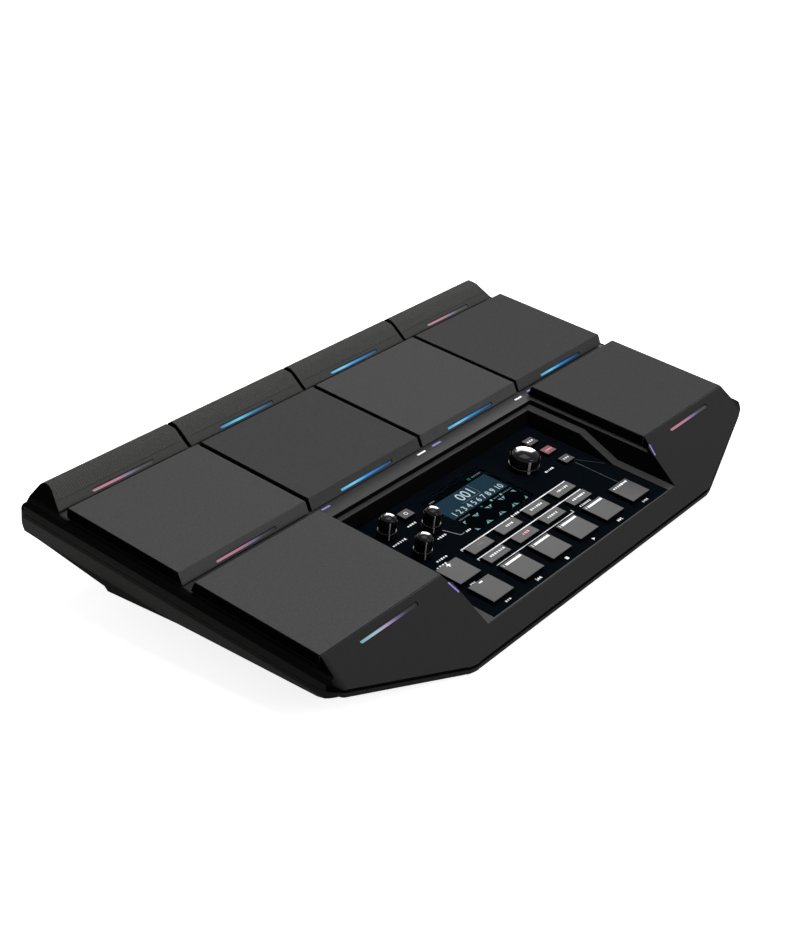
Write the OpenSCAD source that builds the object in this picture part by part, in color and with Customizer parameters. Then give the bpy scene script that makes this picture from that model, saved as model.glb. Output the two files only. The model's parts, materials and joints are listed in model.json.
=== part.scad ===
// Sampling percussion pad: ten struck pads with light bars around a sunken control panel.
// Deck coordinates: u to the right, v along the sloping deck to the rear, w square to the deck.
// The deck's origin is at the middle of the middle pads' front top edge.

/* [Pads] */
// Width of a pad's flat top
pad_w = 100.5; // [96:0.5:106]
// Depth of a middle pad's flat top
pad_d = 83.5; // [78:0.5:90]
// Depth of a front pad's flat top
front_pad_d = 85.2; // [82:0.2:92]
// Gap between neighbouring pads
pad_slit = 2.6; // [2:0.1:3.4]
// Bevel along the pads' upper edges
pad_bevel = 0.7; // [0.4:0.1:1]
// Height of the pads' tops over the valley floor
pad_rise = 7.5; // [6.8:0.1:8.5]
// Distance between the middle pads' tops and the front pads' tops
row_gap = 12; // [11:0.5:15]
// Run of the slope at a middle pad's front
pad_front_run = 3.7; // [3:0.1:4.5]
// Run of the slope at a front pad's rear
pad_rear_run = 2.5; // [1.5:0.1:3.5]
// Travel of a struck pad
pad_travel = 0.5; // [0.3:0.1:0.7]
// Width of a pad's guide post
post_w = 7; // [5:0.5:9]
// Depth of a pad's guide post
post_d = 3; // [2.4:0.2:4]
// Reach of the hook that holds a guide post under the deck
post_hook = 1; // [0.7:0.1:1.4]

/* [Rear bars] */
// Width of the groove between the middle pads and the rear bars
groove_w = 6.9; // [6.3:0.1:8]
// Height of the rear bars over the pads' tops
bar_rise = 2.8; // [2.2:0.1:3.6]
// Width of the rear bars' crest between its rounded corners
bar_crest = 6.8; // [6.6:0.1:7.6]
// Angle of the rear bars' front face
bar_front_angle = 35.5; // [34:0.5:37]
// Height of the rear bars' upright foot
bar_foot = 0.8; // [0.6:0.1:1]
// How far the row's outer ends lean in on their way up
bar_end_lean = 4.7; // [3:0.1:6]
// Angle of the rear bars' rear face
bar_rear_angle = 62.4; // [60:0.2:64]
// Radius of the crest's front corner
bar_front_r = 10; // [8:0.5:11]
// Radius of the crest's rear corner
bar_rear_r = 4; // [3:0.2:4.4]
// Drop of the rear bars' lip below the pads' tops
bar_lip_drop = 12.6; // [11.6:0.2:14]
// Thickness of the rear bars' lip
bar_lip_t = 1.4; // [1:0.1:2]

/* [Light bars] */
// Length of a light bar
light_len = 48; // [40:1:60]
// Width of a light bar
light_w = 2.4; // [1.8:0.1:3]
// Depth of a light bar in its slot
light_depth = 2; // [1.4:0.1:2.4]
// Depth of a rear bar's light in its slot
bar_light_depth = 1.2; // [0.9:0.1:1.3]
// Distance of a light bar from the foot of its slope
light_foot = 2.3; // [1.8:0.1:3]
// Distance of the front light bars from the skirt's ridge
light_skirt = 5.6; // [4:0.2:9]

/* [Case] */
// Tilt of the deck, with the rear higher
tilt = 7; // [5.5:0.5:8]
// Margin of the case beside the outer pads
side_margin = 6.5; // [5.5:0.1:9]
// Thickness of the case's walls
wall = 3; // [2.4:0.1:3.6]
// Thickness of the deck under the pads
deck_t = 4; // [3.6:0.1:5]
// Angle of the front skirt
skirt_angle = 33; // [31:0.5:35]
// Run of the skirt in front of the front pads
skirt_run = 42; // [40:0.5:48]
// Distance of the front outer corners from the skirt's ridge
corner_run = 16; // [13:0.5:20]
// Run of the front chamfers across the case
chamfer_run = 85.5; // [70:0.5:95]
// Radius of the front outer corners
outer_r = 10; // [6:0.5:14]
// Radius of the corners between the front edge and the chamfers
front_r = 40; // [20:1:60]
// Radius of the rear corners
rear_r = 7; // [4:0.5:10]
// Height of the upper case's edge
edge_t = 1.8; // [1.4:0.1:2.4]
// Height of the lower case's rim band
band_t = 2.6; // [2.2:0.1:3.4]
// Gap of the seam between the two case halves
seam_gap = 0.3; // [0.2:0.05:0.5]

/* [Lower case] */
// Thickness of the lower case's walls
base_wall = 2.5; // [2:0.1:3]
// Height of the deck's origin over the base
base_drop = 49; // [48:0.5:53]
// Depth of the tub's underside below the deck's origin
tub_drop = 33; // [31.5:0.5:34]
// Rise of the underside from the cable bay to the rear edge
bay_rise = 13; // [10:0.5:15]
// Step of the underside at the cable bay
bay_step = 2.6; // [1.5:0.1:4]
// Distance of the cable bay's step behind the middle pads' front
bay_v = 52; // [48:0.5:58]
// Lean of the lower case's side walls
side_lean = 6; // [4:0.5:8]
// Half width of the base
base_half = 172; // [165:1:178]
// Half width of the base's front edge
base_front_half = 118; // [112:1:124]
// Run of the base's front chamfers along the case
base_chamfer = 32; // [24:1:40]
// Distance of the base's front wall from the case's front edge
base_front_in = 6; // [5:0.5:7]
// Height of the rubber feet
foot_h = 3.5; // [2.5:0.5:5]
// Radius of the rubber feet
foot_r = 9; // [7:0.5:12]
// Depth of the recesses that hold the feet
foot_sink = 1; // [0.6:0.1:1.4]

/* [Control panel] */
// Width of the control panel
panel_w = 187; // [185:0.5:189]
// Thickness of the control panel
panel_t = 3; // [2.6:0.1:3.4]
// Depth of the control panel below the pads' tops
panel_drop = 20.4; // [19.6:0.1:21]
// Distance of the recess behind the front pads' rear edge line
recess_in = 2.8; // [2.2:0.1:3.6]
// Width of the lip at the recess's sides
lip_w = 7.5; // [6:0.1:8.5]
// Depth of the lip at the recess's rear
lip_d = 5.9; // [5:0.1:6.8]
// Step from the valley floor down to the lip
lip_step = 3; // [2:0.1:4]
// Length of the lip's level stretch at the sides
lip_flat = 43; // [37:1:49]
// Run of the lip's slope at the sides
lip_run = 28; // [22:1:34]
// Lean of the recess's walls
recess_lean = 10; // [6:0.5:12]
// Distance of the front pads from the foot of the recess's walls
ledge_w = 6.5; // [6:0.1:8]
// Width of the lip in front of the panel
front_lip = 1.6; // [1.2:0.1:2.4]
// Thickness of the seat under the panel's edge
seat_t = 2.6; // [2:0.1:3]
// Width of the seat under the panel's sides
seat_w = 5.5; // [4:0.1:7]
// Width of the seat under the panel's front and rear edges
seat_end = 2.6; // [2:0.1:3.2]

/* [Buttons] */
// Width of a large button
large_w = 19.6; // [17:0.2:21]
// Depth of a large button
large_d = 18.2; // [16:0.2:18.6]
// Height of a large button over the panel
large_h = 2.5; // [1.8:0.1:3.2]
// Width of a row button
row_w = 20; // [16:0.2:22]
// Depth of a row button
row_d = 7.8; // [6.5:0.1:8.4]
// Width of a side button
side_w = 9.6; // [8:0.2:11]
// Depth of a side button
side_d = 7; // [6:0.1:8]
// Height of the small buttons over the panel
small_h = 2; // [1.4:0.1:2.8]
// Distance between the button columns
col_pitch = 29; // [28:0.5:30]
// Distance of the outer columns from the panel's sides
col_in = 19.7; // [19:0.1:20.2]
// Place of the columns' middle line
col_mid = -1.5; // [-3:0.5:0]
// Distance of the large buttons' row from the panel's front edge
large_in = 15.2; // [14.6:0.1:16]
// Distance of the second row from the large buttons' row
row_two = 17.7; // [17.4:0.1:18.2]
// Distance of the first row from the second row
row_one = 11.7; // [11.2:0.1:12.2]
// Distance of the plus button from the minus button
plus_pitch = 22.6; // [22:0.1:24]
// Travel of a button
button_travel = 0.8; // [0.5:0.1:1]
// Width of the flange that keeps a button in the panel
button_flange = 1; // [0.7:0.1:1.2]
// Clearance of a button in its hole
button_gap = 0.3; // [0.2:0.05:0.4]

/* [Knobs] */
// Radius of a small knob's grip
knob_r = 5.1; // [4.6:0.1:5.8]
// Radius of a small knob's foot
knob_foot_r = 5.9; // [5.4:0.1:6.6]
// Height of a small knob over the panel
knob_h = 15; // [12:0.5:17]
// Radius of the encoder knob's grip
dial_r = 9.4; // [8.5:0.1:10]
// Radius of the encoder knob's foot
dial_foot_r = 10; // [9.2:0.1:10.6]
// Height of the encoder knob over the panel
dial_h = 13; // [11:0.5:15]
// Radius of a knob's stem
stem_r = 3; // [2.6:0.1:3.2]
// Clearance of a stem in its bore
stem_gap = 0.25; // [0.2:0.05:0.35]
// Place of the knob column beside the panel's left edge
knob_in = 17.8; // [17:0.1:19]
// Distance of the second knob column from the first
knob_pitch_u = 25.2; // [24:0.1:26]
// Distance of the first knob from the panel's rear edge
knob_rear = 16.8; // [16.3:0.1:18.3]
// Distance between the two knobs of the first column
knob_pitch_v = 26; // [24:0.5:28]
// Distance of the encoder knob from the panel's right side
dial_in = 45.5; // [43.5:0.5:47.5]
// Distance of the encoder knob from the panel's rear edge
dial_rear = 28.3; // [26.3:0.1:30.3]
// Distance of the side buttons from the encoder knob
side_out = 27.5; // [25:0.5:29]
// Distance between the side buttons
side_pitch = 13.9; // [12:0.1:15]
// Distance of the click button from the panel's rear edge
click_rear = 11.3; // [9.3:0.1:12.3]
// Travel of the encoder when it is pressed
dial_travel = 0.5; // [0.3:0.1:0.7]

/* [Display] */
// Width of the display glass
glass_w = 60.4; // [56:0.2:62]
// Depth of the display glass
glass_d = 44; // [40:0.5:46]
// Thickness of the display glass
glass_t = 1; // [0.8:0.1:1.4]
// Place of the display's middle
glass_u = -2.8; // [-4:0.2:0]
// Distance of the display glass from the panel's rear edge
glass_rear = 7.3; // [5.3:0.1:9.3]
// Width of the ledge that holds the glass
glass_ledge = 2; // [1.5:0.1:3]

/* [Boards and sockets] */
// Thickness of the circuit boards
board_t = 1.6; // [1.2:0.1:2]
// Height of the space between the panel and its board
board_gap = 5.6; // [5.4:0.1:6]
// Side of a button's switch
switch_w = 6; // [5:0.1:6.5]
// Radius of a jack's bore
jack_r = 3.25; // [3.2:0.05:3.4]
// Depth of a jack's bore
jack_depth = 24; // [20:1:26]
// Radius of a jack's nose
jack_nose_r = 4.8; // [4.5:0.1:5.2]
// Side of a jack's body
jack_side = 11; // [10.6:0.1:11.4]
// Length of a jack's body
jack_len = 22; // [20:1:24]
// Distance between the jacks
jack_pitch = 22; // [18:1:24]
// Place of the jack nearest the left side
jack_first = -118; // [-122:1:-112]
// Width of the power switch's cap
power_w = 11; // [9:0.5:12]
// Height of the power switch's cap
power_h = 7; // [6:0.5:8]
// Travel of the power switch
power_travel = 1.5; // [1:0.1:2]
// Radius of the stand screws' holes
stand_r = 2.1; // [1.6:0.1:2.5]
// Depth of the stand screws' holes
stand_depth = 7; // [5:0.5:7.5]
// Distance between the stand screws across the case
stand_w = 100; // [80:5:120]
// Distance between the stand screws along the case
stand_d = 50; // [40:5:55]

/* [Hidden] */
$fn = 48;
// Clearances
pad_play = 0.4;
foam_play = 0.1;
hook_play = 0.2;
ridge_gap = 0.35;
post_gap = 0.35;
light_gap = 0.1;
panel_gap = 0.3;
flange_gap = 0.2;
screw_gap = 0.2;
knob_lift = 0.5;
hole_gap = 0.6;
block_gap = 0.5;
switch_play = 0.5;
stem_play = 0.4;
pot_play = 0.6;
shaft_play = 0.3;
lip_over = 0.4;
// Overlap of the bodies that make up one piece
bite = 1;
// Reach of cutters past the faces that they cut
over = 20;
far = 500;
arc_steps = 7;

// Pads
pad_float = pad_travel + pad_play;
pad_base = pad_float - pad_rise;
block_w = pad_w + 2 * pad_bevel;
pitch = block_w + pad_slit;
span = 3 * pitch + pad_w;
recess_half = panel_w / 2 + lip_w;
front_inner = recess_half + ledge_w;
front_pad_w = span / 2 - front_inner;
front_pad_u = front_inner + front_pad_w / 2;
front_edge_v = -row_gap - front_pad_d;
post_in = 14;
hook_h = 1.5;
function pad_u(i) = (i - 2.5) * pitch;

// Rear bars
bar_foot_v = pad_d + pad_bevel + groove_w;
bar_foot_w = pad_base + bar_foot;
bar_crest_v = bar_foot_v + (bar_rise - bar_foot_w) / tan(bar_front_angle);
bar_crest_end = bar_crest_v + bar_crest;
function bar_rear_v(w) = bar_crest_end + (bar_rise - w) / tan(bar_rear_angle);
bar_end_v = bar_rear_v(-bar_lip_drop);
lip_in_v = bar_rear_v(pad_base) - bar_lip_t;
bar_mid_v = (bar_foot_v + lip_in_v) / 2;

// Upper case
half_w = span / 2 + side_margin;
floor_w = -pad_rise;
deck_under = floor_w - deck_t;
flange_w = -bar_lip_drop - pad_float;
flange_t = 1.5;
rear_margin = 1.5;
deck_margin = 0.9;
rim_drop = 2.5;
rim_w = floor_w - rim_drop;
seam_w = flange_w - flange_t;
deck_rear_v = lip_in_v - pad_play;
rear_v = bar_end_v + rear_margin;
ridge_v = front_edge_v - ridge_gap;
ridge_w = -0.25;
corner_v = ridge_v - corner_run;
front_v = ridge_v - skirt_run;
skirt_fall = tan(skirt_angle);
function skirt(v) = ridge_w - (ridge_v - v) * skirt_fall;
function skirt_at(w) = ridge_v - (ridge_w - w) / skirt_fall;
drop_v = corner_v;
drop_w = skirt(drop_v) - edge_t;
rim_run = 18;
rim_v = drop_v + rim_run;
inner_in = side_margin + wall / 2;
skirt_t = wall / cos(skirt_angle);

// Recess and panel
recess_v = -row_gap - recess_in;
panel_v = recess_v - lip_d;
panel_top = -panel_drop;
panel_low = panel_top - panel_t;
seat_low = panel_low - seat_t;
lip_top = floor_w - lip_step;
lip_low = panel_top + lip_over;
recess_slope = tan(recess_lean);
recess_top_half = recess_half + (floor_w - lip_low) * recess_slope;
panel_front = skirt_at(lip_low) + front_lip;
panel_d = panel_v - panel_front;
panel_mid_v = (panel_v + panel_front) / 2;
aperture_half = panel_w / 2 - seat_w;
aperture_rear = panel_v - seat_end;
aperture_front = panel_front + seat_end;

// Lower case
deck_z = foot_h + base_drop;
function deck_w(v, z) = (z - v * sin(tilt)) / cos(tilt);
function world_y(v, w) = v * cos(tilt) - w * sin(tilt);
tub_front_run = 12;
tub_front_v = drop_v + tub_front_run;
under_table = [
    [drop_v, drop_w - seam_gap - band_t],
    [tub_front_v, deck_w(tub_front_v, -tub_drop)],
    [bay_v, deck_w(bay_v, -tub_drop)],
    [bay_v + bay_step, deck_w(bay_v + bay_step, bay_step - tub_drop)],
    [rear_v, deck_w(rear_v, bay_step + bay_rise - tub_drop)]
];
function under(v) = lookup(v, under_table);
rear_low_w = under(rear_v);
deck_y = -(world_y(rear_v, rear_low_w) + world_y(front_v, skirt(front_v))) / 2;
base_z = foot_h;
floor_z = base_z + base_wall;
base_top_z = deck_z - tub_drop + base_wall / 2;
base_rear_y = deck_y + world_y(bay_v, under(bay_v));
base_front_y = deck_y + world_y(front_v + base_front_in, deck_w(front_v + base_front_in, -base_drop));

// Screws
screw_r = 1.4;
screw_head_r = 3;
screw_head_h = 2.2;
screw_seat = 5;
pillar_h = 8;
pillar_r = 5.5;
boss_r = 4;
screw_in = 23;
screw_end_in = 22;
screw_mid_v = 4;
screw_u = half_w - screw_in;
screw_front_in = 28;
screw_vs = [rear_v - screw_end_in, screw_mid_v, drop_v + screw_front_in];
screw_bite = 2.4;

// Panel controls
columns = [for (i = [0:3]) col_mid + (i - 1.5) * col_pitch];
left_col = col_mid - panel_w / 2 + col_in;
right_col = col_mid + panel_w / 2 - col_in;
large_v = panel_front + large_in;
edit_v = large_v + row_two;
mode_v = edit_v + row_one;
knob_u = -panel_w / 2 + knob_in;
knob_v = panel_v - knob_rear;
knobs = [[knob_u, knob_v], [knob_u + knob_pitch_u, knob_v - knob_pitch_v / 2], [knob_u, knob_v - knob_pitch_v]];
dial_u = panel_w / 2 - dial_in;
dial_v = panel_v - dial_rear;
side_u = dial_u + side_out;
large_size = [large_w, large_d, large_h];
row_size = [row_w, row_d, small_h];
side_size = [side_w, side_d, small_h];
tracks = [for (i = [0:3]) [columns[i], large_v, large_size]];
shift = [right_col, large_v, large_size];
plus = [left_col, large_v + plus_pitch, large_size];
minus = [left_col, large_v, large_size];
edits = [for (i = [0:3]) [columns[i], edit_v, row_size]];
modes = [for (i = [0:3]) [columns[i], mode_v, row_size]];
sides = [for (i = [0:2]) [side_u, dial_v + (1 - i) * side_pitch, side_size]];
click = [knob_u + knob_pitch_u, panel_v - click_rear, side_size];
buttons = concat(tracks, [shift, plus, minus], edits, modes, sides, [click]);
glass_v = panel_v - glass_rear - glass_d / 2;
board_top = panel_low - board_gap;
board_low = board_top - board_t;
button_low = panel_low - flange_gap - button_flange;
switch_top = button_low - button_travel - switch_play;
stem_side = 2.6;
stem_low = switch_top - button_travel;
switch_floor = stem_low - button_travel - stem_play;
pot_side = 11;
pot_top = panel_low - pot_play;
pot_floor_t = 0.5;
pot_floor = board_top + pot_floor_t;
knob_stem_low = pot_floor + switch_play;
shaft_share = 0.55;
shaft_top = panel_top + dial_h * shaft_share;
shaft_low = pot_floor + dial_travel + shaft_play;
standoff_r = 2.2;
standoff_in = 3;
standoff_rear = 7.3;
standoff_mid = 7.7;
standoff_vs = [aperture_rear - standoff_rear, panel_mid_v + standoff_mid];
standoffs = concat([for (s = [-1, 1], v = standoff_vs) [s * (aperture_half - standoff_in), v]],
    [for (i = [0, 2]) [(columns[i] + columns[i + 1]) / 2, large_v]]);

// Main board and rear sockets
main_lift = 2;
main_z = floor_z + main_lift;
main_half = 140;
main_d = 42.5;
main_rear_gap = 1;
main_rear_y = base_rear_y - base_wall - main_rear_gap;
main_front_y = main_rear_y - main_d;
main_post_in = 16;
main_post_end = 7;
main_post_ys = [main_front_y + main_post_end, main_rear_y - main_post_end];
main_posts = [for (s = [-1, 0, 1], y = main_post_ys) [s * (main_half - main_post_in), y]];
jack_z = main_z + board_t + jack_side / 2;
jack_us = [for (i = [0:5]) jack_first + i * jack_pitch];
nose_len = 2.5;
usb_pitch = 28;
usb_u = jack_us[5] + usb_pitch;
usb_w = 12;
usb_h = 10.8;
usb_len = 15;
usb_wall = 1.4;
usb_back = 3;
usb_out = 0.5;
dc_pitch = 32;
dc_u = usb_u + dc_pitch;
dc_side = 11;
dc_r = 3.2;
dc_back = 2;
power_pitch = 30;
power_u = dc_u + power_pitch;
power_in = 2.5;
power_clear = 2;
power_len = power_in + power_travel + power_clear;
power_out = 2.5;
power_box = 5;
power_rim = 1;
stand_gap = 8;
stand_y = main_front_y - stand_gap - stand_d / 2;
stand_boss_r = 5;
foot_in = 16;
foot_front_in = 10;
foot_u = base_half - foot_in;
foot_front_u = base_front_half - foot_front_in;
feet = [for (s = [-1, 1])
    each [[s * foot_u, base_rear_y - foot_in], [s * foot_front_u, base_front_y + foot_in]]];
sensor_w = 62;
sensor_d = 50;
sensor_t = 0.6;
bar_sensor_w = 56;
bar_sensor_d = 9;
well_depth = 2.2;
foam_top = pad_base - pad_travel - foam_play;
well_low = floor_w - well_depth;

// Frames and extrusions
module deck() {
    translate([0, deck_y, deck_z]) rotate([tilt, 0, 0]) children();
}
module along_u(length) {
    rotate([90, 0, 90]) linear_extrude(length, center = true) children();
}
module along_v(length) {
    rotate([90, 0, 0]) linear_extrude(length, center = true) children();
}
module box(size, low, at = [0, 0]) {
    translate([at[0] - size[0] / 2, at[1] - size[1] / 2, low]) cube(size);
}
module mirrored() {
    children();
    mirror([1, 0, 0]) children();
}

// A closed outline whose corners are rounded by their own radii
function unit(a) = a / norm(a);
function corner_arc(a, p, b, r) =
    let (da = unit(a - p), db = unit(b - p), half = acos(da * db) / 2)
    let (c = p + unit(da + db) * r / sin(half))
    let (s = p + da * r / tan(half) - c, e = p + db * r / tan(half) - c)
    [for (k = [0:arc_steps]) c + r * unit(s * (1 - k / arc_steps) + e * k / arc_steps)];
function rounded(points, radii) =
    let (n = len(points))
    [for (i = [0:n - 1])
        each radii[i] == 0 ? [points[i]]
            : corner_arc(points[(i + n - 1) % n], points[i], points[(i + 1) % n], radii[i])];

// The case's outline in plan, moved inwards by inset
chamfer_angle = atan2(corner_v - front_v, chamfer_run);
function chamfer_v(u, inset) = corner_v + inset / cos(chamfer_angle) - (half_w - u) * tan(chamfer_angle);
function front_corner_u(inset) =
    half_w - (corner_v + inset / cos(chamfer_angle) - front_v - inset) / tan(chamfer_angle);
function outline(inset) =
    let (side = half_w - inset, front = front_v + inset, fu = front_corner_u(inset))
    let (sv = chamfer_v(side, inset), rear = rear_v - inset)
    rounded([[side, rear], [side, sv], [fu, front], [-fu, front], [-side, sv], [-side, rear]],
        [rear_r, outer_r, front_r, front_r, outer_r, rear_r]);
module plan(inset, low, high) {
    translate([0, 0, low]) linear_extrude(high - low) polygon(outline(inset));
}

// A round-ended bar that lies on a slope, with its face at height 0
module slope_bar(at, angle, grow, low, high) {
    length = light_len + 2 * grow;
    width = light_w + 2 * grow;
    translate(at) rotate([angle, 0, 0]) translate([0, 0, low]) {
        linear_extrude(high - low) {
            square([length - width, width], center = true);
            for (s = [-1, 1]) translate([s * (length - width) / 2, 0]) circle(d = width);
        }
    }
}
pad_angle = atan2(-pad_base, pad_front_run);
function pad_light_at(u) =
    [u, -pad_front_run + light_foot * cos(pad_angle), pad_base + light_foot * sin(pad_angle)];
function bar_light_at(u) =
    [u, bar_foot_v + light_foot * cos(bar_front_angle), bar_foot_w + light_foot * sin(bar_front_angle)];
function skirt_light_at(u) =
    [u, ridge_v - light_skirt * cos(skirt_angle), ridge_w - light_skirt * sin(skirt_angle)];

// Upper case: a deck with wells for the pads, a skirt and the sunken seat of the control panel
case_profile = [[rear_v, seam_w], [rear_v, flange_w], [deck_rear_v, flange_w], [deck_rear_v, floor_w],
    [ridge_v, floor_w], [ridge_v, ridge_w], [front_v, skirt(front_v)], [front_v, skirt(front_v) - edge_t],
    [drop_v, drop_w], [rim_v, seam_w]];
deck_side = span / 2 + pad_bevel + deck_margin;
band_run = 2.5;
band_h = 2.3;
case_half = [[span / 2 + ridge_gap, over], [span / 2 + ridge_gap, 0], [deck_side, floor_w],
    [half_w - band_run, rim_w + band_h], [half_w, rim_w], [half_w, -far]];
case_section = concat(case_half, [for (i = [len(case_half) - 1:-1:0]) [-case_half[i][0], case_half[i][1]]]);
inner_profile = [[deck_rear_v - wall, -far], [deck_rear_v - wall, deck_under],
    [skirt_at(deck_under + skirt_t), deck_under], [front_v + wall, skirt(front_v + wall) - skirt_t],
    [front_v + wall, -far]];
lip_profile = [[recess_v, over], [recess_v, lip_top], [recess_v - lip_flat, lip_top],
    [recess_v - lip_flat - lip_run, lip_low], [front_v - over, lip_low], [front_v - over, over]];
recess_over = recess_half + (over - lip_low) * recess_slope;
recess_section = [[-recess_half, lip_low], [recess_half, lip_low], [recess_over, over], [-recess_over, over]];
hole_half = panel_w / 2 + panel_gap;
hole_over = hole_half + (over - panel_top) * recess_slope;
hole_rear = panel_v + panel_gap;
hole_front = panel_front - panel_gap;
hole_section = [[-hole_half, panel_low], [hole_half, panel_low], [hole_half, panel_top], [hole_over, over],
    [-hole_over, over], [-hole_half, panel_top]];
hole_profile = [[hole_front, panel_low], [hole_rear, panel_low], [hole_rear, panel_top],
    [hole_rear + (over - panel_top) * recess_slope, over], [hole_front, over]];
block_profile = [[rear_v, -far], [rear_v, floor_w], [skirt_at(floor_w), floor_w], [front_v, skirt(front_v)],
    [front_v, -far]];
// The ledge beside the recess, whose ends run out in the skirt
ledge_bend = 4.4;
ledge_bend_in = 1.5;
ledge_end = 8.7;
ledge_half = [[front_inner, recess_v + row_gap], [front_inner, ridge_v],
    [front_inner - ledge_bend_in, ridge_v - ledge_bend], [recess_half - ledge_bend_in, ridge_v - ledge_end]];
ledge_plan = concat(ledge_half, [for (i = [len(ledge_half) - 1:-1:0]) [-ledge_half[i][0], ledge_half[i][1]]]);

module case_form() {
    intersection() {
        plan(0, -far / 2, over);
        along_u(far) polygon(case_profile);
        along_v(far) polygon(case_section);
    }
}
module recess_block(grow) {
    u = recess_top_half + wall + grow;
    rear = recess_v + wall + grow;
    front = front_v + inner_in - grow;
    translate([-u, front, seat_low - grow]) cube([2 * u, rear - front, floor_w - seat_low + 2 * grow]);
}
module pad_places() {
    for (i = [1:4]) translate([pad_u(i), pad_d / 2, 0]) children();
    for (s = [-1, 1]) translate([s * front_pad_u, -row_gap - front_pad_d / 2, 0]) children();
}
module bar_places() {
    for (i = [1:4]) translate([pad_u(i), bar_mid_v, 0]) children();
}
module post_places(depth) {
    for (x = [-1, 1], y = [-1, 1])
        translate([x * (pad_w / 2 - post_in), y * (depth / 2 - post_in), 0]) children();
}
module bar_post_places() {
    for (x = [-1, 1]) translate([x * (pad_w / 2 - post_in), 0, 0]) children();
}
module post_hole() {
    box([post_w + 2 * post_gap, post_d + 2 * post_gap, deck_t + over], deck_under - over / 2);
}
module screw_places() {
    mirrored() for (v = screw_vs) translate([screw_u, v, under(v)]) children();
}

module top_case() {
    color("#2a2b2c") deck() difference() {
        union() {
            difference() {
                case_form();
                intersection() {
                    plan(inner_in, -far / 2, over);
                    along_u(far) polygon(inner_profile);
                }
            }
            intersection() {
                recess_block(0);
                along_u(far) polygon(block_profile);
            }
            mirrored() for (v = screw_vs) translate([screw_u, v, under(v) + pillar_h])
                cylinder(r = boss_r, h = deck_under - under(v) - pillar_h + bite);
        }
        translate([0, 0, floor_w]) linear_extrude(over) polygon(ledge_plan);
        intersection() {
            along_u(far) polygon(lip_profile);
            along_v(far) polygon(recess_section);
        }
        intersection() {
            along_u(far) polygon(hole_profile);
            along_v(far) polygon(hole_section);
        }
        translate([-aperture_half, aperture_front, seat_low - over])
            cube([2 * aperture_half, aperture_rear - aperture_front, 2 * over]);
        pad_places() {
            post_places(pad_d) post_hole();
            box([sensor_w + 2 * panel_gap, sensor_d + 2 * panel_gap, over], well_low);
        }
        bar_places() {
            bar_post_places() post_hole();
            box([bar_sensor_w + 2 * panel_gap, bar_sensor_d + 2 * panel_gap, over], well_low);
        }
        mirrored() slope_bar(skirt_light_at(front_pad_u), skirt_angle, 0, -light_depth - light_gap, over);
        screw_places() translate([0, 0, pillar_h - bite])
            cylinder(r = screw_r + light_gap, h = screw_bite + bite + screw_gap);
    }
}

// Lower case: a tub under the whole deck with a raised base that holds the boards and the rear sockets
tub_side = half_w - side_lean;
tub_half = [[half_w, over], [half_w, seam_w - seam_gap - band_t], [tub_side, -tub_drop], [tub_side, -far]];
tub_section = concat(tub_half, [for (i = [len(tub_half) - 1:-1:0]) [-tub_half[i][0], tub_half[i][1]]]);
front_seam_w = skirt(front_v) - edge_t - seam_gap;
tub_seam = [[rear_v, seam_w - seam_gap], [rim_v, seam_w - seam_gap], [drop_v, drop_w - seam_gap],
    [front_v, front_seam_w]];
tub_low = [[front_v, front_seam_w - band_t], each under_table];
tub_inner = concat([[rear_v - wall, over], [tub_front_v, over]],
    [for (p = under_table) if (p[0] >= tub_front_v && p[0] < rear_v) [p[0], p[1] + base_wall]],
    [[rear_v - wall, under(rear_v - wall) + base_wall]]);
base_points = [[base_half, base_rear_y], [base_half, base_front_y + base_chamfer],
    [base_front_half, base_front_y], [-base_front_half, base_front_y],
    [-base_half, base_front_y + base_chamfer], [-base_half, base_rear_y]];
inner_half = base_half - base_wall;
inner_front = base_front_y + base_wall;
inner_points = [[inner_half, base_rear_y - base_wall], [inner_half, inner_front + base_chamfer],
    [base_front_half - base_wall, inner_front], [base_wall - base_front_half, inner_front],
    [-inner_half, inner_front + base_chamfer], [-inner_half, base_rear_y - base_wall]];

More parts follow.
